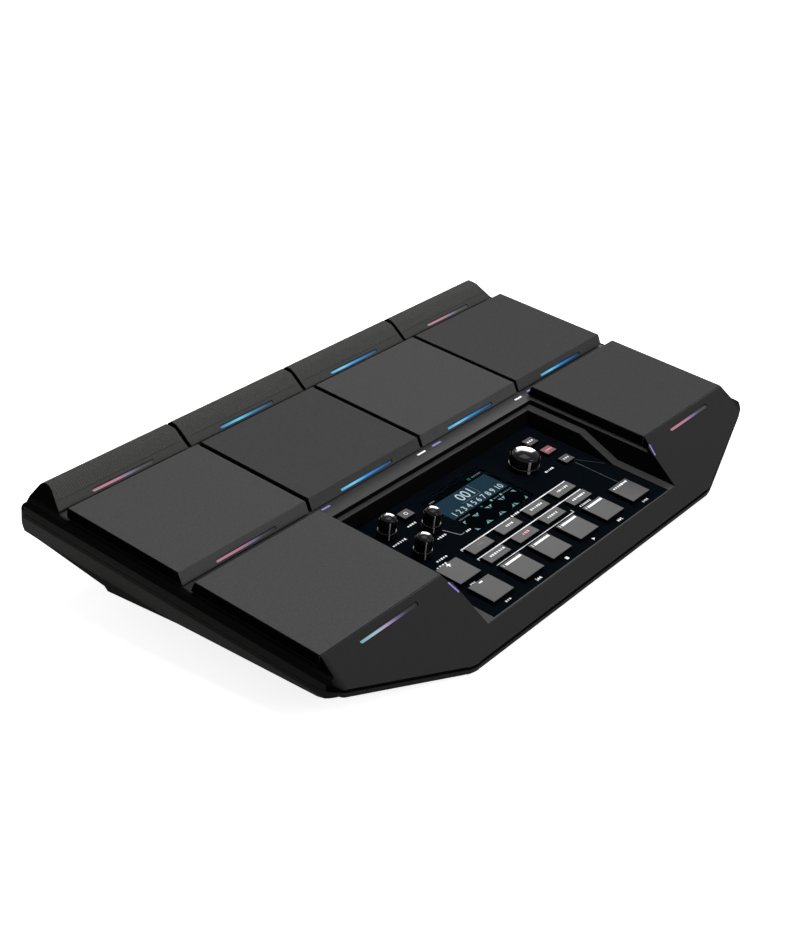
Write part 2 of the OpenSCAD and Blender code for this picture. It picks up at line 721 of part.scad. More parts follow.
module tub() {
    intersection() {
        plan(0, -far / 2, over);
        along_u(far) polygon(concat(tub_seam, tub_low));
        along_v(far) polygon(tub_section);
    }
}
module at_rear(u, z) {
    translate([u, base_rear_y, z]) rotate([-90, 0, 0]) children();
}
module stand_places() {
    for (x = [-1, 1], y = [-1, 1]) translate([x * stand_w / 2, stand_y + y * stand_d / 2, base_z]) children();
}
module bottom_case() {
    color("#161718") difference() {
        union() {
            difference() {
                union() {
                    deck() tub();
                    intersection() {
                        translate([0, 0, base_z]) linear_extrude(base_top_z - base_z) polygon(base_points);
                        deck() along_u(far) polygon(concat(tub_seam, [[front_v, -far], [rear_v, -far]]));
                    }
                }
                deck() intersection() {
                    plan(inner_in, -far / 2, over);
                    along_u(far) polygon(tub_inner);
                }
                translate([0, 0, floor_z]) linear_extrude(base_top_z) polygon(inner_points);
            }
            deck() intersection() {
                tub();
                screw_places() translate([0, 0, -pillar_h]) cylinder(r = pillar_r, h = 2 * pillar_h);
            }
            for (p = main_posts) translate([p[0], p[1], base_z]) cylinder(r = boss_r, h = main_z - base_z);
            stand_places() cylinder(r = stand_boss_r, h = stand_depth + base_wall);
        }
        deck() recess_block(block_gap);
        deck() screw_places() {
            translate([0, 0, -over]) cylinder(r = screw_head_r + screw_gap, h = over + screw_seat);
            cylinder(r = screw_r + screw_gap, h = pillar_h + bite);
        }
        stand_places() translate([0, 0, -bite]) cylinder(r = stand_r, h = stand_depth + bite);
        for (u = jack_us) at_rear(u, jack_z) cylinder(r = jack_nose_r + screw_gap, h = over, center = true);
        at_rear(usb_u, main_z + board_t + usb_h / 2)
            cube([usb_w + 2 * screw_gap, usb_h + 2 * screw_gap, over], center = true);
        at_rear(dc_u, main_z + board_t + dc_side / 2)
            cylinder(r = dc_side / 2 - screw_gap, h = over, center = true);
        at_rear(power_u, jack_z) cube([power_w + 2 * hole_gap, power_h + 2 * hole_gap, over], center = true);
        for (p = feet) translate([p[0], p[1], base_z - bite])
            cylinder(r = foot_r + screw_gap, h = foot_sink + bite);
    }
}

// Control panel with its holes and the standoffs that carry its board
module control_panel() {
    color("#0a0d12") deck() difference() {
        union() {
            box([panel_w, panel_d, panel_t], panel_low, [0, panel_mid_v]);
            for (p = standoffs) translate([p[0], p[1], board_top])
                cylinder(r = standoff_r, h = board_gap + panel_t / 2);
        }
        for (b = buttons)
            box([b[2][0] + 2 * button_gap, b[2][1] + 2 * button_gap, over], panel_low - over / 2, [b[0], b[1]]);
        for (k = concat(knobs, [[dial_u, dial_v]]))
            translate([k[0], k[1], panel_low - bite]) cylinder(r = stem_r + hole_gap, h = panel_t + 2 * bite);
        box([glass_w + 2 * light_gap, glass_d + 2 * light_gap, over], panel_top - glass_t, [glass_u, glass_v]);
        box([glass_w - 2 * glass_ledge, glass_d - 2 * glass_ledge, over],
            panel_low - over / 2, [glass_u, glass_v]);
    }
}
module display_lens() {
    color("#10161c") deck() box([glass_w, glass_d, glass_t], panel_top - glass_t, [glass_u, glass_v]);
}
module display_module() {
    color("#3a5566") deck() {
        box([glass_w - glass_ledge, glass_d - glass_ledge, panel_low - board_top - flange_gap],
            board_top, [glass_u, glass_v]);
    }
}
module panel_board() {
    color("#1d4a33") deck() translate([block_gap - aperture_half, aperture_front + block_gap, board_low])
        cube([2 * (aperture_half - block_gap), aperture_rear - aperture_front - 2 * block_gap, board_t]);
}
module button_switches() {
    color("#202020") deck() for (b = buttons) difference() {
        box([switch_w, switch_w, switch_top - board_top], board_top, [b[0], b[1]]);
        box([stem_side + 2 * button_gap, stem_side + 2 * button_gap, over], switch_floor, [b[0], b[1]]);
    }
}
module turning_part(at) {
    translate([at[0], at[1], 0]) difference() {
        box([pot_side, pot_side, pot_top - board_top], board_top);
        translate([0, 0, pot_floor]) cylinder(r = stem_r + stem_gap, h = over);
    }
}
module volume_pots() {
    color("#5d6468") deck() for (k = knobs) turning_part(k);
}
module encoder_body() {
    color("#5d6468") deck() turning_part([dial_u, dial_v]);
}

// Boards and sockets in the base
module main_board() {
    color("#1d4a33") translate([-main_half, main_front_y, main_z])
        cube([2 * main_half, main_rear_y - main_front_y, board_t]);
}
module audio_jacks() {
    color("#1c1c1e") for (u = jack_us) at_rear(u, jack_z) difference() {
        union() {
            box([jack_side, jack_side, jack_len], -base_wall - jack_len);
            translate([0, 0, -base_wall - bite]) cylinder(r = jack_nose_r, h = base_wall + nose_len + bite);
        }
        translate([0, 0, nose_len - jack_depth]) cylinder(r = jack_r, h = over + jack_depth);
    }
}
module data_sockets() {
    color("#8d9296") {
        at_rear(usb_u, main_z + board_t + usb_h / 2) difference() {
            box([usb_w, usb_h, usb_len + usb_out], -usb_len);
            box([usb_w - 2 * usb_wall, usb_h - 2 * usb_wall, usb_len], usb_back - usb_len);
        }
        at_rear(dc_u, main_z + board_t + dc_side / 2) difference() {
            box([dc_side, dc_side, usb_len - base_wall], -usb_len);
            translate([0, 0, dc_back - usb_len]) cylinder(r = dc_r, h = usb_len);
        }
        at_rear(power_u, jack_z) difference() {
            box([power_w + 2 * power_rim, jack_side, power_box], -base_wall - power_len - power_box);
            box([stem_side + 2 * button_gap, stem_side + 2 * button_gap, power_box],
                bite - base_wall - power_len - power_box);
        }
    }
}
module rubber_feet() {
    color("#111111") for (p = feet) translate([p[0], p[1], 0]) cylinder(r = foot_r, h = foot_h + foot_sink);
}
module case_screws() {
    color("#9a9c9e") deck() screw_places() {
        translate([0, 0, screw_seat - screw_head_h]) cylinder(r = screw_head_r, h = screw_head_h);
        translate([0, 0, screw_seat - bite])
            cylinder(r = screw_r, h = pillar_h + screw_bite + bite - screw_seat);
    }
}

// Struck pads on their cushions and sensors
module pad_sensors() {
    color("#b9a06a") deck() {
        pad_places() box([sensor_w, sensor_d, sensor_t], well_low);
        bar_places() box([bar_sensor_w, bar_sensor_d, sensor_t], well_low);
    }
}
module pad_cushions() {
    color("#3d3d40") deck() {
        pad_places() box([sensor_w, sensor_d, foam_top - well_low - sensor_t], well_low + sensor_t);
        bar_places() box([bar_sensor_w, bar_sensor_d, foam_top - well_low - sensor_t], well_low + sensor_t);
    }
}
module guide_post() {
    box([post_w, post_d, pad_base - deck_under + hook_play + hook_h + bite],
        deck_under - hook_play - hook_h);
    translate([-post_w / 2, 0, deck_under - hook_play - hook_h])
        cube([post_w, post_d / 2 + post_hook, hook_h]);
}
module pad_form(profile, width, top, lean_left = 0, lean_right = 0) {
    half = width / 2;
    right = half - lean_right;
    left = lean_left - half;
    section = concat([[half, pad_base - over]], lean_right > 0 ? [[half, pad_base]] : [],
        [[right, top - pad_bevel], [right - pad_bevel, top], [left + pad_bevel, top], [left, top - pad_bevel]],
        lean_left > 0 ? [[-half, pad_base]] : [], [[-half, pad_base - over]]);
    intersection() {
        along_u(far) polygon(profile);
        along_v(far) polygon(section);
    }
}
main_profile = [[-pad_front_run, pad_base], [0, 0], [pad_d, 0], [pad_d + pad_bevel, -pad_bevel],
    [pad_d + pad_bevel, pad_base]];
front_profile = [[front_edge_v, pad_base], [front_edge_v, 0], [-row_gap, 0],
    [pad_rear_run - row_gap, pad_base]];
bar_profile = rounded([[bar_foot_v, pad_base], [bar_foot_v, bar_foot_w], [bar_crest_v, bar_rise],
    [bar_crest_end, bar_rise], [bar_end_v, -bar_lip_drop], [lip_in_v, -bar_lip_drop], [lip_in_v, pad_base]],
    [0, 0, bar_front_r, bar_rear_r, 0, 0, 0]);

module main_pad(i) {
    u = pad_u(i);
    color("#47484a") deck() {
        difference() {
            translate([u, 0, 0]) pad_form(main_profile, block_w, 0);
            slope_bar(pad_light_at(u), pad_angle, 0, -light_depth - light_gap, over);
        }
        translate([u, pad_d / 2, 0]) post_places(pad_d) guide_post();
    }
}
module front_pad(side) {
    color("#4b4c4e") deck() {
        translate([side * front_pad_u, 0, 0]) pad_form(front_profile, front_pad_w + 2 * pad_bevel, 0);
        translate([side * front_pad_u, -row_gap - front_pad_d / 2, 0]) post_places(pad_d) guide_post();
    }
}
module bar_pad(i) {
    u = pad_u(i);
    color("#434446") deck() {
        difference() {
            translate([u, 0, 0]) pad_form(bar_profile, block_w, bar_rise, i == 1 ? bar_end_lean : 0,
                i == 4 ? bar_end_lean : 0);
            slope_bar(bar_light_at(u), bar_front_angle, 0, -bar_light_depth - light_gap, over);
        }
        translate([u, bar_mid_v, 0]) bar_post_places() guide_post();
    }
}
module pad_light(i) {
    color("#4fb4ff") deck()
        slope_bar(pad_light_at(pad_u(i)), pad_angle, -light_gap, -light_depth, -light_gap);
}
module bar_light(i) {
    color("#4fb4ff") deck()
        slope_bar(bar_light_at(pad_u(i)), bar_front_angle, -light_gap, -bar_light_depth, -light_gap);
}
module front_lights() {
    color("#c58be0") deck() mirrored()
        slope_bar(skirt_light_at(front_pad_u), skirt_angle, -light_gap, -light_depth, -light_gap);
}

// Buttons, knobs and the power switch
module button(b) {
    size = b[2];
    color("#565759") deck() translate([b[0], b[1], 0]) {
        box([size[0], size[1], panel_top + size[2] - button_low], button_low);
        box([size[0] + 2 * button_flange, size[1] + 2 * button_flange, button_flange], button_low);
        box([stem_side, stem_side, button_low - stem_low + button_flange / 2], stem_low);
    }
}
dome_share = 0.16;
dome = [[0.86, 0.45], [0.55, 0.12], [0, 0]];
grip_taper = 0.2;
foot_bevel = 0.6;
rib_r = 0.4;
rib_out = 0.12;
rib_end = 0.5;
knob_foot_h = 4.6;
knob_ribs = 20;
dial_foot_h = 3;
dial_ribs = 36;
module grip(r, base_r, h, base_h, ribs) {
    rise = dome_share * h;
    low = panel_top + knob_lift;
    top = panel_top + h;
    sides = [[0, low], [base_r, low], [base_r, low + base_h - foot_bevel], [base_r - foot_bevel, low + base_h],
        [r, low + base_h], [r - grip_taper, top - rise]];
    difference() {
        rotate_extrude() polygon(concat(sides, [for (p = dome) [r * p[0], top - rise * p[1]]]));
        for (k = [1:ribs]) rotate(k * 360 / ribs) translate([r + rib_out, 0, low + base_h + rib_end])
            cylinder(r = rib_r, h = top - rise - low - base_h - 2 * rib_end, $fn = 24);
    }
}
module volume_knob(k) {
    color("#0d0d0e") deck() translate([k[0], k[1], 0]) {
        grip(knob_r, knob_foot_r, knob_h, knob_foot_h, knob_ribs);
        translate([0, 0, knob_stem_low]) cylinder(r = stem_r, h = panel_top + bite - knob_stem_low);
    }
}
module encoder_knob() {
    bore_top = shaft_top + stem_gap;
    color("#0d0d0e") deck() translate([dial_u, dial_v, 0]) difference() {
        grip(dial_r, dial_foot_r, dial_h, dial_foot_h, dial_ribs);
        translate([0, 0, panel_top]) cylinder(r = stem_r + stem_gap, h = bore_top - panel_top);
    }
}
module encoder_shaft() {
    color("#a4a8ab") deck() translate([dial_u, dial_v, shaft_low])
        cylinder(r = stem_r, h = shaft_top - shaft_low);
}
module power_switch() {
    cap_low = power_rim / 2 - base_wall - power_in;
    color("#222222") at_rear(power_u, jack_z) {
        box([power_w, power_h, power_out - cap_low], cap_low);
        box([power_w + 2 * power_rim, power_h + 2 * power_rim, power_rim], -base_wall - power_in);
        box([stem_side, stem_side, power_len], -base_wall - power_len - bite);
    }
}

top_case();
bottom_case();
control_panel();
display_lens();
display_module();
panel_board();
main_board();
button_switches();
volume_pots();
encoder_body();
pad_cushions();
pad_sensors();
audio_jacks();
data_sockets();
rubber_feet();
case_screws();
front_lights();
for (i = [1:4]) {
    main_pad(i);
    bar_pad(i);
    pad_light(i);
    bar_light(i);
    button(tracks[i - 1]);
    button(edits[i - 1]);
    button(modes[i - 1]);
}
for (i = [1:3]) {
    button(sides[i - 1]);
    volume_knob(knobs[i - 1]);
}
front_pad(-1);  // front_pad_left
front_pad(1);  // front_pad_right
button(shift);  // shift_button
button(plus);  // plus_button
button(minus);  // minus_button
button(click);  // click_button
encoder_knob();
encoder_shaft();
power_switch();
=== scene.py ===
"""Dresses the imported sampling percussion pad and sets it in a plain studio.

Deck coordinates are in millimetres: u to the right, v along the sloping deck to the rear, w square to the deck.
"""

import json
import logging
import math
from dataclasses import dataclass, field
from enum import Enum
from functools import cached_property
from typing import Callable, Iterable, Sequence

import bmesh
import bpy
from bpy.types import Material, Mesh, MeshPolygon, Node, NodeSocket, NodeTree, Object
from mathutils import Matrix, Vector
from mathutils.bvhtree import BVHTree

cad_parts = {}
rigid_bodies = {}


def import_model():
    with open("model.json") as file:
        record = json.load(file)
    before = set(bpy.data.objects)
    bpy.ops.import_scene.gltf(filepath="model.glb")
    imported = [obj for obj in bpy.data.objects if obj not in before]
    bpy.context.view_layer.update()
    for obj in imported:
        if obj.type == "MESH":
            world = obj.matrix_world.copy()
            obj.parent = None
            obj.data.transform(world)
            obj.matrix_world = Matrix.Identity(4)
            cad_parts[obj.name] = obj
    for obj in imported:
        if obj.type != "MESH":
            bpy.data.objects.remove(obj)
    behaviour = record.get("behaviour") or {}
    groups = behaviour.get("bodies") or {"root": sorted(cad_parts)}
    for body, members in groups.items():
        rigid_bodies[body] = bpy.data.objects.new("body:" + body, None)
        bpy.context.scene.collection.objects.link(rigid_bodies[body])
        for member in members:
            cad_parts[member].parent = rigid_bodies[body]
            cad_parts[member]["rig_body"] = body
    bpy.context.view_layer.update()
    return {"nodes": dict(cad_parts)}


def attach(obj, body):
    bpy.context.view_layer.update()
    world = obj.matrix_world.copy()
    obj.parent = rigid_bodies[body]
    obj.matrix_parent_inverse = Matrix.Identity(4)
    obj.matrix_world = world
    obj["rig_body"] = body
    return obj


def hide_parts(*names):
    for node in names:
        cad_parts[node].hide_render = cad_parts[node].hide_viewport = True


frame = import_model()

BMesh = bmesh.types.BMesh
Color = tuple[float, float, float]
Point2 = tuple[float, float]
Point3 = tuple[float, float, float]
Rows = tuple[tuple, ...]
MM = 0.001
WELD = 1e-6
LOG = logging.getLogger("percussion_pad")


class Socket(Enum):
    """The kinds of node group sockets in use."""

    GEOMETRY = "NodeSocketGeometry"
    FLOAT = "NodeSocketFloat"
    INT = "NodeSocketInt"
    VECTOR = "NodeSocketVector"
    COLOR = "NodeSocketColor"
    MATERIAL = "NodeSocketMaterial"


def rgba(shown: Color) -> tuple[float, ...]:
    """Turns a display colour, from 0 to 255, into a linear one with full cover."""
    shares = [value / 255 for value in shown]
    return (*(x / 12.92 if x <= 0.04045 else ((x + 0.055) / 1.055) ** 2.4 for x in shares), 1.0)


def linked(name: str, data: bpy.types.ID) -> Object:
    """Makes an object and links it to the scene.

    Args:
        name: The object's name.
        data: Its mesh, curve, lamp or camera.

    Returns:
        The new object.
    """
    obj = bpy.data.objects.new(name, data)
    bpy.context.scene.collection.objects.link(obj)
    return obj


def plain_mesh(obj: Object) -> Mesh:
    """Turns an object into a plain mesh of what its modifiers or its text make.

    Args:
        obj: The object, which is removed.

    Returns:
        The new mesh.
    """
    depsgraph = bpy.context.evaluated_depsgraph_get()
    mesh = bpy.data.meshes.new_from_object(obj.evaluated_get(depsgraph), depsgraph=depsgraph)
    obj.modifiers.clear()
    bpy.data.objects.remove(obj)
    return mesh


class Graph:
    """A node tree that is being wired up."""

    def __init__(self, tree: NodeTree) -> None:
        """Takes over the tree to wire."""
        self.tree = tree

    @classmethod
    def group(cls, name: str, kind: str, inputs: dict[str, Socket], outputs: dict[str, Socket]) -> "Graph":
        """Starts a node group with named sockets.

        Args:
            name: The group's name.
            kind: The type of tree.
            inputs: Names and kinds of what goes in.
            outputs: Names and kinds of what comes out.

        Returns:
            The graph of the new group.
        """
        tree = bpy.data.node_groups.new(name, kind)
        for side, sockets in (("INPUT", inputs), ("OUTPUT", outputs)):
            for label, socket in sockets.items():
                tree.interface.new_socket(label, in_out=side, socket_type=socket.value)
        graph = cls(tree)
        graph.source = graph.add("NodeGroupInput").outputs
        graph.sink = graph.add("NodeGroupOutput")
        return graph

    @classmethod
    def geometry(cls, name: str, **inputs: Socket) -> "Graph":
        """Starts a geometry node group that takes named inputs and a material."""
        return cls.group(name, "GeometryNodeTree", {**inputs, "Material": Socket.MATERIAL},
                         {"Geometry": Socket.GEOMETRY})

    def feed(self, node: Node, feeds: dict) -> None:
        """Links or sets the inputs of a node.

        Args:
            node: The node.
            feeds: Input name or number to a socket or a list of sockets to link, or to a value to set.
        """
        for label, value in feeds.items():
            for item in value if isinstance(value, list) else [value]:
                if isinstance(item, NodeSocket):
                    self.tree.links.new(item, node.inputs[label])
                else:
                    node.inputs[label].default_value = item

    def add(self, kind: str, feeds: dict | None = None, **settings: object) -> Node:
        """Adds a node.

        Args:
            kind: The node's type.
            feeds: What its inputs get.
            settings: The node's own properties.

        Returns:
            The new node.
        """
        node = self.tree.nodes.new(kind)
        for key, value in settings.items():
            setattr(node, key, value)
        self.feed(node, feeds or {})
        return node

    def make(self, kind: str, feeds: dict | None = None, **settings: object) -> NodeSocket:
        """Adds a node and returns its first output."""
        return self.add(kind, feeds, **settings).outputs[0]

    def math(self, operation: str, first: object, second: object) -> NodeSocket:
        """Adds a calculation with two values and returns its result."""
        return self.make("ShaderNodeMath", {0: first, 1: second}, operation=operation)

    def scaled(self, vector: NodeSocket, share: NodeSocket) -> NodeSocket:
        """Adds a vector or colour times a share and returns the result."""
        return self.make("ShaderNodeVectorMath", {0: vector, "Scale": share}, operation="SCALE")

    def ranged(self, value: NodeSocket, start: Sequence[object], end: Sequence[object]) -> NodeSocket:
        """Adds a map from one range of values to another and returns the result."""
        return self.make("ShaderNodeMapRange", {"Value": value, "From Min": start[0], "From Max": start[1],
                                                "To Min": end[0], "To Max": end[1]})

    def rod(self, sides: object, radius: NodeSocket, length: NodeSocket, foot: object) -> NodeSocket:
        """Adds an upright rod to a geometry tree.

        Args:
            sides: How many sides it has.
            radius, length: Its sizes.
            foot: The height of its lower end.

        Returns:
            The rod's mesh.
        """
        shape = self.make("GeometryNodeMeshCylinder", {"Vertices": sides, "Radius": radius, "Depth": length})
        lift = self.make("ShaderNodeCombineXYZ", {"Z": self.math("ADD", foot, self.math("MULTIPLY", length, 0.5))})
        return self.make("GeometryNodeTransform", {"Geometry": shape, "Translation": lift})

    def finish(self, geometry: NodeSocket) -> "Graph":
        """Ends a geometry tree in real geometry of the finish that it is given.

        Args:
            geometry: What the tree has grown.

        Returns:
            The same tree.
        """
        real = self.make("GeometryNodeRealizeInstances", {"Geometry": geometry})
        feeds = {"Geometry": real, "Material": self.source["Material"]}
        self.feed(self.sink, {"Geometry": self.make("GeometryNodeSetMaterial", feeds)})
        return self

    def repeat(self, points: NodeSocket, shape: NodeSocket, **feeds: NodeSocket) -> "Graph":
        """Ends a geometry tree in a shape that is repeated on points."""
        feeds = {"Points": points, "Instance": shape, **feeds}
        return self.finish(self.make("GeometryNodeInstanceOnPoints", feeds))

    def grow(self, material: Material, seed: Mesh | None = None, **values: object) -> Mesh:
        """Runs a geometry tree and returns its result as a plain mesh.

        Args:
            material: The finish of what it grows.
            seed: The mesh that the tree works on, if it takes one.
            values: The other named inputs.

        Returns:
            A new mesh.
        """
        obj = linked("grown", seed or bpy.data.meshes.new("grown"))
        modifier = obj.modifiers.new("grown", "NODES")
        modifier.node_group = self.tree
        values["Material"] = material
        for item in self.tree.interface.items_tree:
            if item.in_out == "INPUT" and item.name in values:
                modifier[item.identifier] = values[item.name]
        return plain_mesh(obj)


@dataclass(frozen=True)
class Deck:
    """The sloping deck that carries the pads and the panel."""

    tilt_deg: float = 7.0
    origin_y: float = 6.30565
    origin_z: float = 52.5
    pitch: float = 104.5
    panel_top: float = -20.4
    bar_foot: Point2 = (91.1, -5.8)
    bar_angle: float = 35.5
    tracks: tuple[float, ...] = (-45.0, -16.0, 13.0, 42.0)

    def matrix(self) -> Matrix:
        """Returns the move from deck millimetres to the frame's metres."""
        turn = Matrix.Rotation(math.radians(self.tilt_deg), 4, "X")
        return Matrix.Scale(MM, 4) @ Matrix.Translation((0.0, self.origin_y, self.origin_z)) @ turn

    def column(self, index: int) -> float:
        """Returns the u of a pad column, counted from 1."""
        return (index - 2.5) * self.pitch

    def up(self) -> Vector:
        """Returns the direction square to the deck."""
        return (self.matrix().to_3x3() @ Vector((0.0, 0.0, 1.0))).normalized()

    def slope(self, u: float, foot: Point2, angle: float, run: float, face: float = 0.0) -> Matrix:
        """Finds a place on one of the slopes that rise from the deck.

        Args:
            u: The place's middle.
            foot: The foot of the slope in v and w.
            angle: The slope, in degrees.
            run: The distance from the foot, up the slope.
            face: The height over the slope.

        Returns:
            The move from the place's own millimetres to the frame's metres.
        """
        lean = math.radians(angle)
        at = Matrix.Translation((u, foot[0] + run * math.cos(lean), foot[1] + run * math.sin(lean)))
        return self.matrix() @ at @ Matrix.Rotation(lean, 4, "X") @ Matrix.Translation((0.0, 0.0, face))


DECK = Deck()


def soften(bm: BMesh, limit_deg: float = 30.0) -> None:
    """Shades faces smooth and keeps edges over a limit sharp.

    Args:
        bm: The mesh to shade.
        limit_deg: The angle between faces from which an edge stays sharp.
    """
    limit = math.radians(limit_deg)
    for face in bm.faces:
        face.smooth = True
    for edge in bm.edges:
        edge.smooth = len(edge.link_faces) == 2 and edge.calc_face_angle(0.0) < limit


def box(bm: BMesh, size: Point3, at: Point3) -> None:
    """Adds an upright box of a size round a middle."""
    bmesh.ops.create_cube(bm, size=1.0, matrix=Matrix.Translation(at) @ Matrix.Diagonal((*size, 1.0)))


def ease(bm: BMesh, edges: list[bmesh.types.BMEdge], width: float, segments: int = 2, **settings: object) -> list:
    """Rounds edges and returns the new faces."""
    return bmesh.ops.bevel(bm, geom=edges, offset=width, segments=segments, profile=0.5, affect="EDGES",
                           **settings)["faces"]


def lathe(bm: BMesh, outline: Sequence[Point2], steps: int = 64, closed: bool = False,
          move: Matrix = Matrix()) -> None:
    """Turns an outline about an upright axis.

    Args:
        bm: The mesh that takes the faces.
        outline: Radius and height from the axis below to the axis above, or round a ring's section.
        steps: The number of faces round the axis.
        closed: Whether the outline's end joins its start.
        move: Where the axis stands.
    """
    turns = [math.tau * k / steps for k in range(steps)]
    rings = [[bm.verts.new(move @ Vector((r * math.cos(t), r * math.sin(t), h))) for t in (turns if r else turns[:1])]
             for r, h in outline]
    for low, high in zip(rings, rings[1:] + (rings[:1] if closed else [])):
        for k in range(steps):
            j = (k + 1) % steps
            corners = (low[k % len(low)], low[j % len(low)], high[j % len(high)], high[k % len(high)])
            bm.faces.new(list(dict.fromkeys(corners)))
    bmesh.ops.recalc_face_normals(bm, faces=bm.faces[:])


def points_mesh(points: Sequence[Point3], chain: bool = False) -> Mesh:
    """Makes a mesh of bare points.

    Args:
        points: Where they are.
        chain: Whether each one is joined to the next.

    Returns:
        The new mesh.
    """
    mesh = bpy.data.meshes.new("points")
    mesh.from_pydata(points, [(i, i + 1) for i in range(len(points) - 1)] if chain else [], [])
    return mesh


def grain_group() -> NodeTree:
    """Builds the moulded grain that the plastics and rubbers share.

    Returns:
        A shader group whose colour, roughness and height change over the surface.
    """
    graph = Graph.group("moulded_grain", "ShaderNodeTree",
                        {"Color": Socket.COLOR, "Shade": Socket.FLOAT, "Roughness": Socket.FLOAT,
                         "Rub": Socket.FLOAT, "Grain": Socket.FLOAT},
                        {"Color": Socket.COLOR, "Roughness": Socket.FLOAT, "Height": Socket.FLOAT})
    source = graph.source
    place = graph.add("ShaderNodeTexCoord").outputs["Object"]
    grain = graph.make("ShaderNodeTexNoise", {"Vector": place, "Scale": source["Grain"], "Detail": 2.0})
    cells = graph.make("ShaderNodeTexVoronoi", {"Vector": place, "Scale": source["Grain"]})
    rub = graph.make("ShaderNodeTexNoise", {"Vector": place, "Scale": 26.0, "Detail": 4.0, "Roughness": 0.6})
    shares = [graph.math(sign, 1.0, source["Shade"]) for sign in ("SUBTRACT", "ADD")]
    shade = graph.ranged(grain, (0.25, 0.75), shares)
    offset = graph.math("MULTIPLY", graph.math("SUBTRACT", rub, 0.5), source["Rub"])
    height = graph.math("ADD", graph.math("MULTIPLY", grain, 0.6), graph.math("MULTIPLY", cells, 0.4))
    graph.feed(graph.sink, {"Color": graph.scaled(source["Color"], shade), "Height": height,
                            "Roughness": graph.math("ADD", source["Roughness"], offset)})
    return graph.tree


GRAIN = grain_group()


class Shader(Graph):
    """A material that is being made."""

    def __init__(self, name: str) -> None:
        """Starts the material.

        Args:
            name: The material's name.
        """
        self.material = bpy.data.materials.new(name)
        self.material.use_nodes = True
        super().__init__(self.material.node_tree)

    def grain(self, color: Color, shade: float, roughness: float, rub: float, size_mm: float) -> bpy.types.NodeOutputs:
        """Adds the moulded grain, with what the colour and the roughness change by, and returns its outputs."""
        feeds = {"Color": rgba(color), "Shade": shade, "Roughness": roughness, "Rub": rub, "Grain": 1 / (size_mm * MM)}
        return self.add("ShaderNodeGroup", feeds, node_tree=GRAIN).outputs

    def dress(self, feeds: dict) -> Material:
        """Links or sets inputs of the material's own shader and returns the material."""
        self.feed(self.tree.nodes["Principled BSDF"], feeds)
        return self.material


@dataclass(frozen=True)
class Moulded:
    """A plastic or rubber with a moulded grain, and painted shade towards its outer ends where asked."""

    name: str
    color: Color
    roughness: float
    grain_mm: float = 0.5
    depth_mm: float = 0.03
    shade: float = 0.10
    rub: float = 0.12
    specular: float = 0.5
    metallic: float = 0.0
    # Painted shade: past this distance from the middle plane the colour darkens towards the outer ends.
    dark_beyond: float = 0.0
    dark_fade: float = 0.3
    dark_share: float = 0.08

    def inside(self, made: Shader, color: NodeSocket) -> NodeSocket:
        """Paints shade on a colour beyond a distance from the middle plane, so that the outer ends look shaded.

        Args:
            made: The material in the making.
            color: The colour to darken.

        Returns:
            The colour that is left.
        """
        place = made.add("ShaderNodeSeparateXYZ", {"Vector": made.add("ShaderNodeTexCoord").outputs["Object"]})
        reach = made.math("ABSOLUTE", place.outputs["X"], 0.0)
        limit = self.dark_beyond * MM
        return made.scaled(color, made.ranged(reach, (limit, limit + self.dark_fade * MM), (1.0, self.dark_share)))

    def material(self) -> Material:
        """Builds the finish.

        Returns:
            The new material.
        """
        made = Shader(self.name)
        grain = made.grain(self.color, self.shade, self.roughness, self.rub, self.grain_mm)
        color = self.inside(made, grain["Color"]) if self.dark_beyond else grain["Color"]
        bump = made.make("ShaderNodeBump", {"Height": grain["Height"], "Distance": self.depth_mm * MM, "Strength": 1.0})
        return made.dress({"Base Color": color, "Roughness": grain["Roughness"], "Normal": bump,
                           "Specular IOR Level": self.specular, "Metallic": self.metallic})


@dataclass(frozen=True)
class Glow:
    """A lit diffuser whose colour runs along its length, with painted shade under the slot's upper edge."""

    name: str
    stops: tuple[tuple[float, Color], ...]
    fade: Point2 = (0.56, 0.74)
    edge: float = 0.02
    roughness: float = 0.35
    specular: float = 0.2

    def material(self) -> Material:
        """Builds the finish.

        Returns:
            The new material.
        """
        made = Shader(self.name)
        along, across = (made.add("ShaderNodeAttribute", attribute_name=name).outputs["Fac"]
                         for name in ("along", "across"))
        ramp = made.add("ShaderNodeValToRGB", {"Fac": along})
        elements = ramp.color_ramp.elements
        while len(elements) < len(self.stops):
            elements.new(0.5)
        for element, (place, color) in zip(elements, self.stops):
            element.position = place
            element.color = rgba(color)
        # Painted shade: the light dims towards the upper edge, where the slot's wall shades it.
        light = made.scaled(ramp.outputs["Color"], made.ranged(across, self.fade, (1.0, self.edge)))
        return made.dress({"Emission Color": light, "Emission Strength": 1.0, "Base Color": (0.01, 0.01, 0.01, 1.0),
                           "Roughness": self.roughness, "Specular IOR Level": self.specular})


@dataclass(frozen=True)
class Ink:
    """Printed ink or a lit mark, with a slightly uneven cover."""

    name: str
    color: Color
    glow: float = 0.0
    roughness: float = 0.4
    specular: float = 0.03
    lit_only: bool = False
    grain_mm: float = 0.4
    shade: float = 0.06
    rub: float = 0.1

    def material(self) -> Material:
        """Builds the finish.

        Returns:
            The new material.
        """
        made = Shader(self.name)
        grain = made.grain(self.color, self.shade, self.roughness, self.rub, self.grain_mm)
        feeds = {"Roughness": grain["Roughness"], "Base Color": grain["Color"], "Specular IOR Level": self.specular}
        if self.lit_only:
            feeds |= {"Base Color": (0.0, 0.0, 0.0, 1.0), "Specular IOR Level": 0.0}
        if self.glow:
            feeds |= {"Emission Color": grain["Color"], "Emission Strength": self.glow}
        return made.dress(feeds)


